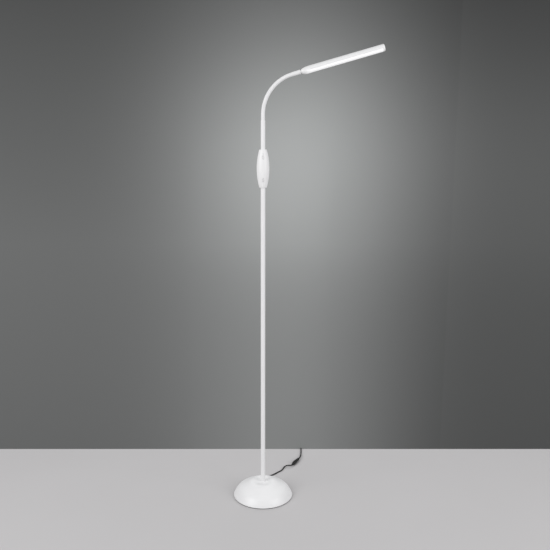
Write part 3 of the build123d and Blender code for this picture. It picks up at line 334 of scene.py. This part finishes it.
iron = Finish("cast_iron", Metallic=0.6, Roughness=0.75)
iron_skin = iron.noise(420.0, 5.0, 0.65)
iron.tint(iron_skin, rgb(0.05, 0.05, 0.055), rgb(0.12, 0.12, 0.125))
iron.bump(iron_skin, 0.0006)
iron.dress(*nodes_named("base_weight"))

# ---- Clamp ----
# A hollow threaded stud that pulls the pole down on the base, with a lock washer and a nut under
# the weight and a threaded insert in the pole's foot. All are of zinc-plated steel.
zinc.dress(*nodes_named("pole_stud", "stud_washer", "stud_nut", "foot_insert"))

# ---- Base cover ----
# A dome spun from sheet steel, with a rolled rim, a wide flat crest and a shallow bowl round the
# pole. It is powder coated in satin white, and a notch at the back lets the lead out.
powder = Finish("white_powder_coat", Specular_IOR_Level=0.45, Coat_Weight=0.12, Coat_Roughness=0.3)
powder_peel = powder.noise(1100.0, 2.0, 0.5)
powder_cloud = powder.noise(14.0, 3.0, 0.55)
powder.tint(powder_cloud, rgb(0.80, 0.80, 0.805), rgb(0.85, 0.85, 0.855))
powder.feed("Roughness", 0.34 + 0.12 * powder_cloud)
powder.bump(powder_peel, 0.00006)

COVER_WALL = 0.0015
COVER_HOLE = 0.0051
COVER_SEAT = 0.0524
# Height and radius, in millimetres, from the rim up to the seat round the pole.
COVER_CURVE = [
    (2.6, 102.3), (8.8, 99.3), (16.7, 94.7), (24.9, 88.6), (31.4, 81.4), (36.3, 72.8), (41.0, 63.4),
    (46.2, 53.8), (50.2, 44.8), (52.1, 37.0), (51.7, 29.5), (50.5, 22.0), (50.8, 15.5), (52.4, 10.0),
]


def smooth_line(points, steps):
    """Catmull-Rom curve through points: each stretch is the cubic with its neighbours' slopes."""
    knots = np.array(points, float)
    padded = np.vstack([2 * knots[0] - knots[1], knots, 2 * knots[-1] - knots[-2]])
    share = (np.arange(steps) / steps)[None, :, None]
    before, start, end, after = (padded[i : len(knots) - 1 + i, None, :] for i in range(4))
    curve = 0.5 * (
        2 * start
        + (end - before) * share
        + (2 * before - 5 * start + 4 * end - after) * share**2
        + (3 * start - before - 3 * end + after) * share**3
    )
    return np.vstack([curve.reshape(-1, knots.shape[1]), knots[-1]])


def thickened(curve, wall):
    """A closed (along, radius) profile: the curve, then back along it, one wall to its right."""
    slope = np.gradient(curve, axis=0)
    normal = np.stack([slope[:, 1], -slope[:, 0]], axis=1)
    normal /= np.linalg.norm(normal, axis=1)[:, None]
    return np.vstack([curve, (curve + normal * wall)[::-1]])


cover_outer = np.vstack([smooth_line(COVER_CURVE, 8) / 1000, [(COVER_SEAT, COVER_HOLE)]])
cover_profile = thickened(cover_outer, COVER_WALL)
cover_profile[-1] = cover_outer[0] - (0.0, COVER_WALL)
base_dome = turned("base_dome", cover_profile, segments=240)
made(base_dome, "stand", powder, "white_metal", "base_cover")

# ---- Cord gland ----
# A soft black bush pressed into the cover's notch. Its flange hides the notch's edge, and its
# tail tapers down to the lead.
rubber = Finish("black_rubber", Roughness=0.62)
rubber_grain = rubber.noise(900.0, 3.0, 0.55)
rubber.tint(rubber_grain, rgb(0.008), rgb(0.02))
rubber.bump(rubber_grain, 0.00008)
CORD_LEVEL = 0.0066
gland_profile = [
    (0.0953, 0.00235), (0.1081, 0.00235), (0.1081, 0.0030), (0.1061, 0.0033), (0.1059, 0.0030),
    (0.1053, 0.0030), (0.1051, 0.0035), (0.1039, 0.0038), (0.1037, 0.0034), (0.1031, 0.0034),
    (0.1029, 0.0041), (0.1021, 0.0044), (0.1001, 0.0044), (0.1001, 0.0036), (0.0953, 0.0036),
]
gland = turned("gland_bush", gland_profile, (0.0, 0.0, CORD_LEVEL), (0, 1, 0), 64)
made(gland, "stand", rubber, "black_rubber", "cord_gland")

# ---- Pole ----
# Two lengths of drawn steel tube, joined by a plug inside, with a hairline seam where they meet.
# They are coated like the base and stand in the middle of its bowl.
POLE_BORE = 0.0063
POLE_RADIUS = 0.0075
POLE_SEAM = 0.5604
POLE_TOP = 1.0894
lower_tube = turned("pole_lower_tube", tube_wall(COVER_SEAT, POLE_SEAM, POLE_BORE, POLE_RADIUS))
made(eased(lower_tube, 0.00025), "stand", powder, "white_metal", "pole_lower")
upper_pole = turned("pole_upper_tube", tube_wall(POLE_SEAM, POLE_TOP, POLE_BORE, POLE_RADIUS))
made(eased(upper_pole, 0.00025), "stand", powder, "white_metal", "pole_upper")
zinc.dress(*nodes_named("pole_coupler"))

# ---- Control pod ----
# Two moulded halves of a slim spindle, screwed together from behind and caught on collars on
# the tubes. The front half has windows for two long push buttons and a pilot light.
def satin_moulding(name, **constants):
    """White moulded plastic and its grain, which varies the gloss and the relief."""
    finish = Finish(name, Specular_IOR_Level=0.5, **constants)
    grain = finish.noise(1700.0, 2.0, 0.5)
    finish.feed("Roughness", 0.36 + 0.1 * grain)
    finish.bump(grain, 0.00004)
    return finish, grain


PLASTIC_DARK, PLASTIC_PALE = rgb(0.82, 0.82, 0.822), rgb(0.86, 0.86, 0.862)
plastic = satin_moulding("white_plastic")[0]
plastic.tint(plastic.noise(18.0, 2.0, 0.5), PLASTIC_DARK, PLASTIC_PALE)

black = Finish("black_plastic", Specular_IOR_Level=0.45)
black_grain = black.noise(1500.0, 3.0, 0.55)
black.tint(black_grain, rgb(0.010), rgb(0.022))
black.feed("Roughness", 0.42 + 0.18 * black_grain)
black.bump(black_grain, 0.00007)

POD_MIDDLE = 1.1358
POD_HALF = 0.0604
POD_RADIUS = 0.0205
POD_BULGE = 0.0084
POD_WALL = 0.0022
POD_LAND = 0.0105
POD_LOWER_HOLE = 0.0076
POD_UPPER_HOLE = 0.0072
POD_CURVE = (POD_HALF**2 + POD_BULGE**2) / (2 * POD_BULGE)
BUTTON_OFFSET = 0.036
LENS_OFFSET = 0.047
SCREW_OFFSET = 0.015
# Length and width of each opening, and then from where to where its cutter reaches.
WINDOW_SIZE = (0.013, 0.006)
LENS_SIZE = (0.00321, 0.0032)
WELL_SIZE = (0.0057, 0.0056)
WINDOW_REACH = (-0.03, -0.008)
WELL_REACH = (0.008, 0.03)


def pod_reach(along, depth=0.0):
    """Radius of the pod's arc, or of the same arc at a depth under it."""
    return POD_RADIUS - POD_CURVE + np.sqrt((POD_CURVE - depth) ** 2 - along**2)


def pod_half(name, first, last):
    """Half a hollow spindle: its profile loop carried through half a turn, both ends capped."""
    outer = np.linspace(-POD_HALF, POD_HALF, 90)
    inner = np.linspace(POD_HALF - POD_LAND, POD_LAND - POD_HALF, 60)
    along = np.concatenate([outer, [POD_HALF, inner[0]], inner, [inner[-1], -POD_HALF]])
    top, bottom = [POD_UPPER_HOLE] * 2, [POD_LOWER_HOLE] * 2
    radius = np.concatenate([pod_reach(outer), top, pod_reach(inner, POD_WALL), bottom])
    turn = np.linspace(first, last, 73)
    points = np.empty((len(turn), len(along), 3))
    points[..., 0] = radius * np.cos(turn)[:, None]
    points[..., 1] = radius * np.sin(turn)[:, None]
    points[..., 2] = POD_MIDDLE + along
    return surface(name, points, loop_columns=True, caps=(0, -1))


def capsule(name, height, length, width, reach, steps=20):
    """A prism whose outline is two half circles and two straights, through the pod's side."""
    bend = np.linspace(0, pi, steps)
    ends = (length - width) / 2 * np.repeat([1, -1], steps)
    points = np.empty((2, 2 * steps, 3))
    points[..., 0] = width / 2 * np.concatenate([np.cos(bend), -np.cos(bend)])
    points[..., 1] = np.array(reach)[:, None]
    points[..., 2] = POD_MIDDLE + height + (ends + width / 2 * np.concatenate([np.sin(bend), -np.sin(bend)]))
    return surface(name, points, loop_columns=True, caps=(0, -1))


def cut(piece, *cutters):
    """Take solids away from a piece and weld the result into it."""
    for cutter in cutters:
        trim = piece.modifiers.new("window", "BOOLEAN")
        trim.operation = "DIFFERENCE"
        trim.solver = "EXACT"
        trim.object = cutter
    graph = bpy.context.evaluated_depsgraph_get()
    mesh = bpy.data.meshes.new_from_object(piece.evaluated_get(graph))
    piece.modifiers.clear()
    piece.data = mesh
    mesh.shade_smooth()
    mesh.set_sharp_from_angle(angle=SMOOTH_UNDER)
    for cutter in cutters:
        bpy.data.objects.remove(cutter)
    return piece


pod_front = pod_half("pod_front_shell", -pi, 0)
windows = [capsule(f"window_{side}", side * BUTTON_OFFSET, *WINDOW_SIZE, WINDOW_REACH) for side in (1, -1)]
windows.append(capsule("window_lens", LENS_OFFSET, *LENS_SIZE, WINDOW_REACH))
made(eased(cut(pod_front, *windows), 0.0002, 2, 50), "stand", plastic, "white_plastic", "pod_front")
pod_rear = pod_half("pod_rear_shell", 0, pi)
wells = [capsule(f"well_{side}", side * SCREW_OFFSET, *WELL_SIZE, WELL_REACH) for side in (1, -1)]
made(eased(cut(pod_rear, *wells), 0.0002, 2, 50), "stand", plastic, "white_plastic", "pod_rear")
zinc.dress(*nodes_named("pod_screws"))
black.dress(*nodes_named("lower_collar", "upper_collar"))

# ---- Push buttons and pilot light ----
# Two long satin keys, domed like the pod and standing a little proud of it, for power and for
# brightness. A clear pin above the upper one carries the pilot light.
key_cap = Finish("key_plastic", Specular_IOR_Level=0.5)
key_grain = key_cap.noise(2200.0, 2.0)
key_cap.tint(key_grain, rgb(0.72, 0.72, 0.725), rgb(0.78, 0.78, 0.785))
key_cap.feed("Roughness", 0.4 + 0.1 * key_grain)
key_cap.bump(key_grain, 0.00003)

KEY_PROUD = 0.0007
KEY_HALF_WIDTH = 0.00275
KEY_STRAIGHT = 0.0035


def key(name, height, steps=72):
    """Rings of a capsule's outline, each times its size, on the pod's own surface raised a little.

    The outline is a circle whose upper and lower halves stand apart by the key's straight sides,
    and the drop takes the last rings over the edge and back into the pod.
    """
    turn = np.arange(steps) * (2 * pi / steps)
    size = np.array([0.0, 0.35, 0.6, 0.8, 0.9, 0.96, 0.99, 1.0, 1.0])
    drop = np.array([0.0, 0.0, 0.0, 0.0, 0.00003, 0.0001, 0.0002, 0.0004, 0.004])
    x = size[:, None] * KEY_HALF_WIDTH * np.cos(turn)
    z = size[:, None] * (KEY_HALF_WIDTH * np.sin(turn) + KEY_STRAIGHT * np.clip(np.sin(turn) * 30, -1, 1))
    reach = pod_reach(height + z, -KEY_PROUD)
    y = -np.sqrt(reach**2 - x**2) + drop[:, None]
    points = np.stack([x, y, POD_MIDDLE + height + z], axis=-1)
    return surface(name, points, loop_columns=True, caps=(-1,))


made(key("power_key", BUTTON_OFFSET), "power_button", key_cap, "pale_button", "power_button")
made(key("dimmer_key", -BUTTON_OFFSET), "dimmer_button", key_cap, "pale_button", "dimmer_button")

glass = Finish("clear_lens", Roughness=0.12, Transmission_Weight=0.2, IOR=1.49)
glass_grain = glass.noise(600.0)
glass.tint(glass_grain, rgb(0.88, 0.90, 0.89), rgb(0.93, 0.95, 0.94))
glass.dress(*nodes_named("indicator_lens"))

# ---- Circuit board and switches ----
# A green glass-fibre board that stands inside the pod, with a small black push switch behind
# each of the two keys. None of it shows from outside.
circuit = Finish("circuit_green", Roughness=0.45)
circuit_tracks = circuit.noise(320.0, 1.0)
circuit.tint(circuit_tracks, rgb(0.02, 0.12, 0.05), rgb(0.04, 0.22, 0.10))
circuit.dress(*nodes_named("circuit_board"))
black.dress(*nodes_named("tact_switches"))

# ---- Upper tube ----
# A short and slightly slimmer length of steel tube, which carries the flexible arm's root in its
# top end and stands in the pod. It is coated like the pole.
UPPER_FOOT = 1.1822
UPPER_TOP = 1.2868
UPPER_BORE = 0.006
UPPER_RADIUS = 0.0071
upper = turned("upper_tube_skin", tube_wall(UPPER_FOOT, UPPER_TOP, UPPER_BORE, UPPER_RADIUS))
made(eased(upper, 0.0003), "stand", powder, "white_metal", "upper_tube")

# ---- Flexible arm ----
# A gooseneck: flat steel strip wound into a tube that holds whatever bend it is given, under
# the same white coat. Each stretch runs from the middle of one link to the middle of the next.
LINKS = 9
LINK_PITCH = 0.0166
FIRST_JOINT = 1.3141
ARM_TURN = 74.3
ARM_RADIUS = 0.0064
ARM_BORE = 0.0046
STRIP_PITCH = LINK_PITCH / 5
STRIP_DEPTH = 0.00055
RINGS_PER_PITCH = 9


def heading(number):
    """A link's unit vector: upright at 0, and leaning by equal steps up to the arm's whole turn."""
    lean = radians(number * ARM_TURN / (LINKS + 1))
    return np.array((sin(lean), 0.0, cos(lean)))


arm_joint = [np.array((0.0, 0.0, FIRST_JOINT))]
for number in range(1, LINKS + 1):
    arm_joint.append(arm_joint[-1] + LINK_PITCH * heading(number))


def wound_tube(name, start, bend, end, length, phase=0.0, segments=56):
    """Wound strip along a quadratic curve from start to end with its handle at bend.

    The radius dips by the strip's depth once per pitch, and the dips climb as a helix. The bore
    is smooth, with every fourth ring of the outside.
    """
    rows = int(round(length / STRIP_PITCH * RINGS_PER_PITCH))
    share = np.linspace(0, 1, rows + 1)[:, None]
    line = (1 - share) ** 2 * start + 2 * share * (1 - share) * bend + share**2 * end
    slope = (1 - share) * (bend - start) + share * (end - bend)
    slope /= np.linalg.norm(slope, axis=1)[:, None]
    side = np.array((0.0, 1.0, 0.0))
    other = np.cross(slope, side)
    turn = np.arange(segments) * (2 * pi / segments)
    wave = 0.5 - 0.5 * np.cos(2 * pi * (phase + share * length) / STRIP_PITCH + turn[None, :])
    radius = ARM_RADIUS - STRIP_DEPTH * wave**3
    around = np.cos(turn)[None, :, None] * side + np.sin(turn)[None, :, None] * other[:, None, :]
    outer = line[:, None, :] + radius[..., None] * around
    inner = (line[:, None, :] + ARM_BORE * around)[::-4]
    return surface(name, np.vstack([outer, inner]), loop_rows=True, loop_columns=True)


middles = [arm_joint[0] - LINK_PITCH / 2 * heading(0)]
middles += [joint + LINK_PITCH / 2 * heading(n + 1) for n, joint in enumerate(arm_joint)]
foot = np.array((0.0, 0.0, UPPER_TOP))
foot_length = middles[0][2] - UPPER_TOP
arm_foot = wound_tube("arm_foot", foot, (foot + middles[0]) / 2, middles[0], foot_length, -foot_length)
made(arm_foot, "stand", powder, "white_metal", "arm_root")
for number, joint in enumerate(arm_joint):
    near, far = middles[number], middles[number + 1]
    stretch = wound_tube(f"arm_stretch_{number + 1}", near, joint, far, LINK_PITCH)
    powder.dress(stretch)
    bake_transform(stretch)
    if number < LINKS:
        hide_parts(f"arm_link_{number + 1}")

# ---- End ferrule ----
# A smooth steel sleeve, crimped on the wound arm's end and coated with it. It holds the hollow
# zinc-plated spindle that the head turns on, and the clip that keeps the head there.
REACH = heading(LINKS + 1)
LIFT = np.array((-REACH[2], 0.0, REACH[0]))
ferrule_profile = [
    (0.0064, 0.0046), (0.0210, 0.0046), (0.0210, 0.0041), (0.0330, 0.0041), (0.0330, 0.0070),
    (0.0328, 0.00715), (0.0322, 0.0071), (0.0310, 0.0069), (0.0280, 0.0068), (0.0072, 0.0068),
    (0.0066, 0.0067), (0.0064, 0.0064),
]
ferrule = turned("arm_end_ferrule", ferrule_profile, arm_joint[-1], REACH)
made(ferrule, "arm_end", powder, "white_metal", "arm_ferrule")
zinc.dress(*nodes_named("swivel_spindle", "swivel_clip"))

# ---- Head nose ----
# A moulded bullet that turns on the spindle. Its top line rises later than its underside, and a
# spigot inside the tube carries the head. Its lower end glows a little: painted light that
# brightens its underside.
SPINDLE_REACH = 0.0359
HEAD_START = arm_joint[-1] + REACH * SPINDLE_REACH
HEAD_RADIUS = 0.0114
NOSE_LENGTH = 0.028
NOSE_TIP = 0.0057
NOSE_DIP = 0.00052


def head_section(along, across, rise):
    """Points of the head from arrays of their distance along its axis, across it and above it."""
    side = np.array((0.0, 1.0, 0.0))
    return HEAD_START + along[..., None] * REACH + across[..., None] * side + rise[..., None] * LIFT


def nose_grid(segments=96):
    """Rings whose radius grows as 1-(1-t)^3.4 while their centre dips by a half sine.

    The first rings roll the tip's edge over, and the last four are the hollow inside.
    """
    depth = np.concatenate([[0.0, 0.0, 0.00008, 0.0003], np.linspace(0.0007, NOSE_LENGTH, 40)])
    share = depth / NOSE_LENGTH
    radius = NOSE_TIP + (HEAD_RADIUS - NOSE_TIP) * (1 - (1 - share) ** 3.4)
    radius[:4] = (0.0031, 0.0050, 0.0054, 0.0057)
    centre = -NOSE_DIP * np.sin(pi * share)
    depth = np.concatenate([depth, [NOSE_LENGTH, 0.020, 0.0093, 0.0093]])
    radius = np.concatenate([radius, [0.0081, 0.0062, 0.0062, 0.0031]])
    centre = np.concatenate([centre, np.zeros(4)])
    turn = np.arange(segments) * (2 * pi / segments)
    across = radius[:, None] * np.cos(turn)
    rise = centre[:, None] + radius[:, None] * np.sin(turn)
    return head_section(depth[:, None], across, rise)


# The diffuser's glow from the LEDs, also used for the nose's painted glow.
LED_AND_PAINTED_GLOW = 0.24
PAINTED_GLOW_ALONG = (0.008, 0.024)
PAINTED_GLOW_BELOW = (0.002, -0.004)
nose_plastic, nose_grain = satin_moulding("nose_plastic", Emission_Strength=LED_AND_PAINTED_GLOW)
nose_plastic.tint(nose_grain, PLASTIC_DARK, PLASTIC_PALE)


def nose_distance(axis):
    """How far a point of the nose lies along an axis from the nose's start."""
    sizes = {0: nose_plastic.place, 1: tuple(axis)}
    reach = nose_plastic.node("ShaderNodeVectorMath", {"operation": "DOT_PRODUCT"}, sizes, out=1)
    return reach - float(HEAD_START @ axis)


# Painted light: the nose's underside glows, more towards the housing, standing in for light from below.
painted_underside_glow = nose_plastic.clear(nose_distance(REACH), *PAINTED_GLOW_ALONG)
painted_underside_glow = painted_underside_glow * nose_plastic.clear(nose_distance(LIFT), *PAINTED_GLOW_BELOW)
nose_plastic.tint(painted_underside_glow, rgb(0.0), rgb(1.0), "Emission Color")
nose = surface("head_bullet", nose_grid(), loop_rows=True, loop_columns=True)
made(nose, "head", nose_plastic, "white_plastic", "head_nose")
plastic.dress(*nodes_named("neck_bush"))

# ---- Head housing ----
# An extruded aluminium half tube, painted white, with rails inside for the heat bar. It is
# open below, where the diffuser snaps in.
paint = Finish("white_paint", Specular_IOR_Level=0.5, Coat_Weight=0.15, Coat_Roughness=0.25)
paint_cloud = paint.noise(16.0, 2.0)
paint_line = paint.noise(900.0, 2.0, 0.5, (0.15, 1.0, 0.15))
paint.tint(paint_cloud, rgb(0.82, 0.82, 0.825), rgb(0.86, 0.86, 0.865))
paint.feed("Roughness", 0.32 + 0.1 * paint_line)
paint.bump(paint_line, 0.00003)
HEAD_WALL = 0.0016
BODY_END = 0.262
HOUSING_EDGE = 0.0022


def half_tube(name, low, high, steps=90, rows=24):
    """A strip of tube from one angle to another: its outer arc, its inner arc and two ends."""
    turn = np.linspace(low, high, steps)
    radius = np.repeat([HEAD_RADIUS, HEAD_RADIUS - HEAD_WALL], steps)
    turn = np.concatenate([turn, turn[::-1]])
    along = np.linspace(NOSE_LENGTH, BODY_END, rows)[:, None]
    grid = head_section(along, radius * np.cos(turn), radius * np.sin(turn))
    return surface(name, grid, loop_columns=True, caps=(0, -1))


split = np.arcsin(HOUSING_EDGE / HEAD_RADIUS)
housing = half_tube("head_upper_shell", -split, pi + split)
made(eased(housing, 0.0002, 2, 50), "head", paint, "white_alloy", "head_housing")

# ---- Diffuser ----
# A milky extruded trough under the LEDs, a hair brighter than the housing because light soaks
# through it.
TROUGH_EDGE = 0.0023
milk = Finish("milky_diffuser", Roughness=0.42, Specular_IOR_Level=0.5, Emission_Strength=LED_AND_PAINTED_GLOW)
milk_cloud = milk.noise(40.0, 2.0)
milk.tint(milk_cloud, rgb(0.88, 0.88, 0.885), rgb(0.92, 0.92, 0.922))
milk.tint(milk_cloud, rgb(0.95, 0.96, 1.0), rgb(1.0), "Emission Color")
split_low = np.arcsin(TROUGH_EDGE / HEAD_RADIUS)
trough = half_tube("diffuser_trough", pi + split_low, 2 * pi - split_low)
made(eased(trough, 0.0002, 2, 50), "head", milk, "milky", "diffuser")

# ---- LED board and heat bar ----
# A white circuit strip with a row of yellow phosphor LEDs, fixed under a bare aluminium bar that
# takes their heat into the housing. They lie behind the diffuser.
led_white = Finish("led_board_white", Roughness=0.5)
led_grain = led_white.noise(500.0)
led_white.tint(led_grain, rgb(0.80, 0.80, 0.78), rgb(0.88, 0.88, 0.86))
led_white.dress(*nodes_named("led_board"))
phosphor = Finish("led_phosphor", Roughness=0.3)
phosphor_grain = phosphor.noise(900.0)
phosphor.tint(phosphor_grain, rgb(0.8, 0.6, 0.12), rgb(0.9, 0.72, 0.2))
phosphor.dress(*nodes_named("led_chips"))
alloy = Finish("bare_alloy", Metallic=1.0)
alloy_line = alloy.noise(700.0, 3.0, 0.6, (0.05, 1.0, 0.05))
alloy.tint(alloy_line, rgb(0.62, 0.63, 0.64), rgb(0.76, 0.77, 0.78))
alloy.feed("Roughness", 0.3 + 0.2 * alloy_line)
alloy.dress(*nodes_named("heat_bar"))

# ---- End cap ----
# A moulded plug that closes the head's far end, with a rounded rim, held by two small painted
# screws in the head's side.
HEAD_LENGTH = 0.269
CAP_ROUND = 0.003
CAP_FLAT = 0.005
cap_bend = np.linspace(0, pi / 2, 9)
cap_profile = [(BODY_END, 0.0), (BODY_END, HEAD_RADIUS)]
cap_along = HEAD_LENGTH - CAP_ROUND + CAP_ROUND * np.sin(cap_bend)
cap_profile += zip(cap_along, HEAD_RADIUS - CAP_ROUND + CAP_ROUND * np.cos(cap_bend))
cap_profile += [(HEAD_LENGTH, CAP_FLAT), (HEAD_LENGTH, 0.0)]
tip = turned("head_tip_cap", cap_profile, HEAD_START, REACH, closed=False)
made(tip, "head", plastic, "white_plastic", "end_cap")
paint.dress(*nodes_named("cap_screws"))

# ---- Supply lead ----
# The lamp's own length of round black flex, from the gland to the in-line connector on the
# floor, stiff enough to stand up in a small hump where it turns into the connector.
flex = Finish("black_flex", Roughness=0.5, Specular_IOR_Level=0.5)
flex_grain = flex.noise(1200.0, 2.0)
flex.tint(flex_grain, rgb(0.006), rgb(0.014))
flex.bump(flex_grain, 0.00005)
flex.dress(*nodes_named("supply_wire", "arm_wire"))
CORD_RADIUS = 0.00225
CONNECTOR_HEADING = radians(62.5)
CONNECTOR_AXIS = np.array((cos(CONNECTOR_HEADING), sin(CONNECTOR_HEADING), 0.0))
CONNECTOR_START = np.array((0.1125, 0.2155, CORD_LEVEL))
STRAIGHT_IN = 0.009 * CONNECTOR_AXIS
# The route's points, in millimetres.
SUPPLY_ROUTE = [
    (0.0, 108.1, 6.6), (0.0, 118.5, 6.6), (8.0, 127.0, 5.0), (20.5, 129.5, 3.0), (33.0, 137.0, 2.3),
    (46.5, 150.5, 2.3), (57.5, 163.0, 2.3), (68.0, 173.5, 2.3), (75.0, 186.0, 2.3), (77.3, 194.5, 2.6),
    (82.5, 203.5, 4.4), (91.5, 207.0, 7.4), (99.9, 204.4, 8.4),
]


def flex_curve(name, points):
    """A round flex along one smooth spline, which has the route's points as its control points."""
    line = bpy.data.curves.new(name, "CURVE")
    line.dimensions = "3D"
    line.bevel_depth = CORD_RADIUS
    line.bevel_resolution = 5
    line.use_fill_caps = True
    line.resolution_u = 8
    spline = line.splines.new("NURBS")
    spline.points.add(len(points) - 1)
    spline.points.foreach_set("co", np.hstack([points, np.ones((len(points), 1))]).ravel())
    spline.order_u = 3
    spline.use_endpoint_u = True
    piece = bpy.data.objects.new(name, line)
    bpy.context.collection.objects.link(piece)
    return piece


supply_points = np.vstack([np.array(SUPPLY_ROUTE) / 1000, CONNECTOR_START - STRAIGHT_IN, CONNECTOR_START])
supply_flex = flex_curve("supply_flex", supply_points)
made(supply_flex, "stand", flex, "black_cord", "supply_cord")

# ---- Connector ----
# A fat moulded socket, tapering back over the flex, and the slimmer plug that pushes into it.
# Both have finger ribs.
CONNECTOR_LENGTH = 0.060


def ribs(first, pitch, number, places, radii, outline):
    """Profile of finger ribs: one small (along, rise) outline repeated at a pitch on a taper.

    The taper goes straight from one radius to the other between two places along the axis.
    """
    at = first + pitch * np.arange(number)
    size = np.interp(at, places, radii)
    along, rise = np.array(outline).T
    return np.stack([at[:, None] + along, size[:, None] + rise], axis=-1).reshape(-1, 2).tolist()


SOCKET_RIB = [(0.0, 0.0), (0.0009, 0.0002), (0.0010, -0.0003), (0.0017, 0.0)]
socket_profile = [(0.0, 0.0), (0.0, 0.0034)]
socket_profile += ribs(0.0008, 0.0018, 6, (0.0, 0.012), (0.0034, 0.0066), SOCKET_RIB)
socket_profile += [(0.0125, 0.0066), (0.0315, 0.0066), (0.032, 0.0061), (0.032, 0.0)]
socket_shell = turned("socket_shell", socket_profile, CONNECTOR_START, CONNECTOR_AXIS, 64, closed=False)
PLUG_RIB = [(0.0, 0.0), (0.0008, -0.0004), (0.0014, -0.0004), (0.0015, 0.0)]
plug_profile = [(0.0321, 0.0), (0.0321, 0.0050), (0.0325, 0.0054), (0.0428, 0.0054)]
plug_profile += ribs(0.0438, 0.0022, 7, (0.043, 0.060), (0.0054, 0.0031), PLUG_RIB)
plug_profile += [(0.0597, 0.0031), (CONNECTOR_LENGTH, 0.0028), (CONNECTOR_LENGTH, 0.0)]
plug_shell = turned("plug_shell", plug_profile, CONNECTOR_START, CONNECTOR_AXIS, 64, closed=False)
made(socket_shell, "stand", black, "black_plastic", "socket_grip")
made(plug_shell, "stand", black, "black_plastic", "plug_grip")
nickel = Finish("nickel", Metallic=1.0, Roughness=0.2)
nickel_grain = nickel.noise(900.0)
nickel.tint(nickel_grain, rgb(0.62, 0.61, 0.58), rgb(0.70, 0.69, 0.66))
nickel.dress(*nodes_named("plug_barrel", "socket_pin"))

# ---- Adapter lead ----
# The adapter's flex runs from the plug along the floor and past the wall's foot. The length
# that isn't needed lies there in a neat coil of two layers, and a short tail reaches the adapter.
CONNECTOR_END = CONNECTOR_START + CONNECTOR_LENGTH * CONNECTOR_AXIS
LEAD_ROUTE = [
    (147.5, 295.0, 4.6), (149.8, 312.5, 2.7), (151.4, 330.0, 2.3),
    (152.6, 348.0, 2.3), (153.5, 367.0, 2.3), (154.0, 387.5, 2.3),
]
TAIL_ROUTE = [(154.0, 417.0, 7.3), (153.4, 426.5, 9.4), (150.6, 437.5, 12.9), (150.0, 448.0, 14.0)]
ADAPTER_ENTRY = np.array((0.150, 0.457, 0.014))
COIL_ACROSS, COIL_MIDDLE = 154.0, 408.0
COIL_OUTER, COIL_INNER, COIL_STEP = 33.0, 15.5, 2.5
FLOOR_LAYER, LAYER_RISE = 2.3, 5.0
TURNS_IN, TURNS_OUT = 9, 7


def coil_points(per_half=8):
    """Half circles end to end, in millimetres: winding in on the floor, up, and out on top.

    Each one's radius is a step less than the last one's, and on top a step more. Its points lie
    on a circle a little outside the tube's, because the spline cuts inside its points.
    """
    radii = [COIL_OUTER - COIL_STEP * step for step in range(TURNS_IN)]
    radii += [COIL_INNER + COIL_STEP * step for step in range(TURNS_OUT)]
    turn = (np.arange(per_half) + 0.5) * pi / per_half
    across, side, rows = COIL_ACROSS, 1.0, []
    for step, radius in enumerate(radii):
        wide = side * radius / (0.5 + 0.5 * cos(pi / per_half))
        x = across - side * radius + wide * np.cos(turn)
        y = COIL_MIDDLE + wide * np.sin(turn)
        level = FLOOR_LAYER + LAYER_RISE * np.clip(step + 1 - TURNS_IN + turn / pi, 0, 1)
        rows.append(np.stack([x, y, level], axis=1))
        across -= 2 * side * radius
        side = -side
    return np.vstack(rows)


lead_points = np.vstack([
    CONNECTOR_END,
    CONNECTOR_END + STRAIGHT_IN,
    np.array(LEAD_ROUTE) / 1000,
    coil_points() / 1000,
    np.array(TAIL_ROUTE) / 1000,
    ADAPTER_ENTRY,
])
lead_flex = flex_curve("adapter_flex", lead_points)
made(lead_flex, "stand", flex, "black_cord", "adapter_lead", "lead_coil", "adapter_tail")

# ---- Adapter ----
# A small black wall adapter lying on its back with its two pins up, with a ribbed relief where
# the flex goes in.
RELIEF_LENGTH = 0.018
RELIEF_RIB = [(0.0, 0.0), (0.0018, 0.0003), (0.0019, -0.0004), (0.0029, 0.0)]
relief_profile = [(0.0, 0.0)]
relief_profile += ribs(0.0, 0.003, 6, (0.0, RELIEF_LENGTH), (0.0030, 0.0046), RELIEF_RIB)
relief_profile += [(RELIEF_LENGTH, 0.0046), (RELIEF_LENGTH, 0.0)]
adapter_relief = turned("adapter_relief_sleeve", relief_profile, ADAPTER_ENTRY, (0, 1, 0), 64, closed=False)
made(adapter_relief, "stand", rubber, "black_rubber", "adapter_relief")


def rounded_block(name, low, high, radius, sections):
    """Outlines at listed levels: four quarter circles round the corners' centres, joined up.

    Each level's circles have the corner's radius less the inset listed there.
    """
    turn = np.arange(4)[:, None] * pi / 2 + np.linspace(0, pi / 2, 9)
    left, right = low[0] + radius, high[0] - radius
    near, far = low[1] + radius, high[1] - radius
    level, inset = np.array(sections).T[:, :, None, None]
    points = np.empty((len(sections), *turn.shape, 3))
    points[..., 0] = np.array([right, left, left, right])[:, None] + (radius - inset) * np.cos(turn)
    points[..., 1] = np.array([far, far, near, near])[:, None] + (radius - inset) * np.sin(turn)
    points[..., 2] = level
    return surface(name, points.reshape(len(sections), -1, 3), loop_columns=True, caps=(0, -1))


CASE_LOW, CASE_HIGH = (0.128, 0.475), (0.172, 0.535)
CASE_CORNER = 0.004
# Height, and how far the outline is drawn in there; the middle dip is the joint of the two halves.
case_levels = [
    (0.0, 0.0012), (0.0004, 0.0004), (0.0012, 0.0), (0.0176, 0.0), (0.0178, 0.0004),
    (0.0182, 0.0004), (0.0184, 0.0), (0.0267, 0.0), (0.0275, 0.0005), (0.0280, 0.0013),
]
adapter_case = rounded_block("adapter_body", CASE_LOW, CASE_HIGH, CASE_CORNER, case_levels)
made(adapter_case, "stand", black, "black_plastic", "adapter_case")
brass = Finish("plated_brass", Metallic=1.0, Roughness=0.25)
brass_grain = brass.noise(500.0)
brass.tint(brass_grain, rgb(0.70, 0.62, 0.42), rgb(0.78, 0.70, 0.50))
brass.dress(*nodes_named("adapter_pins"))
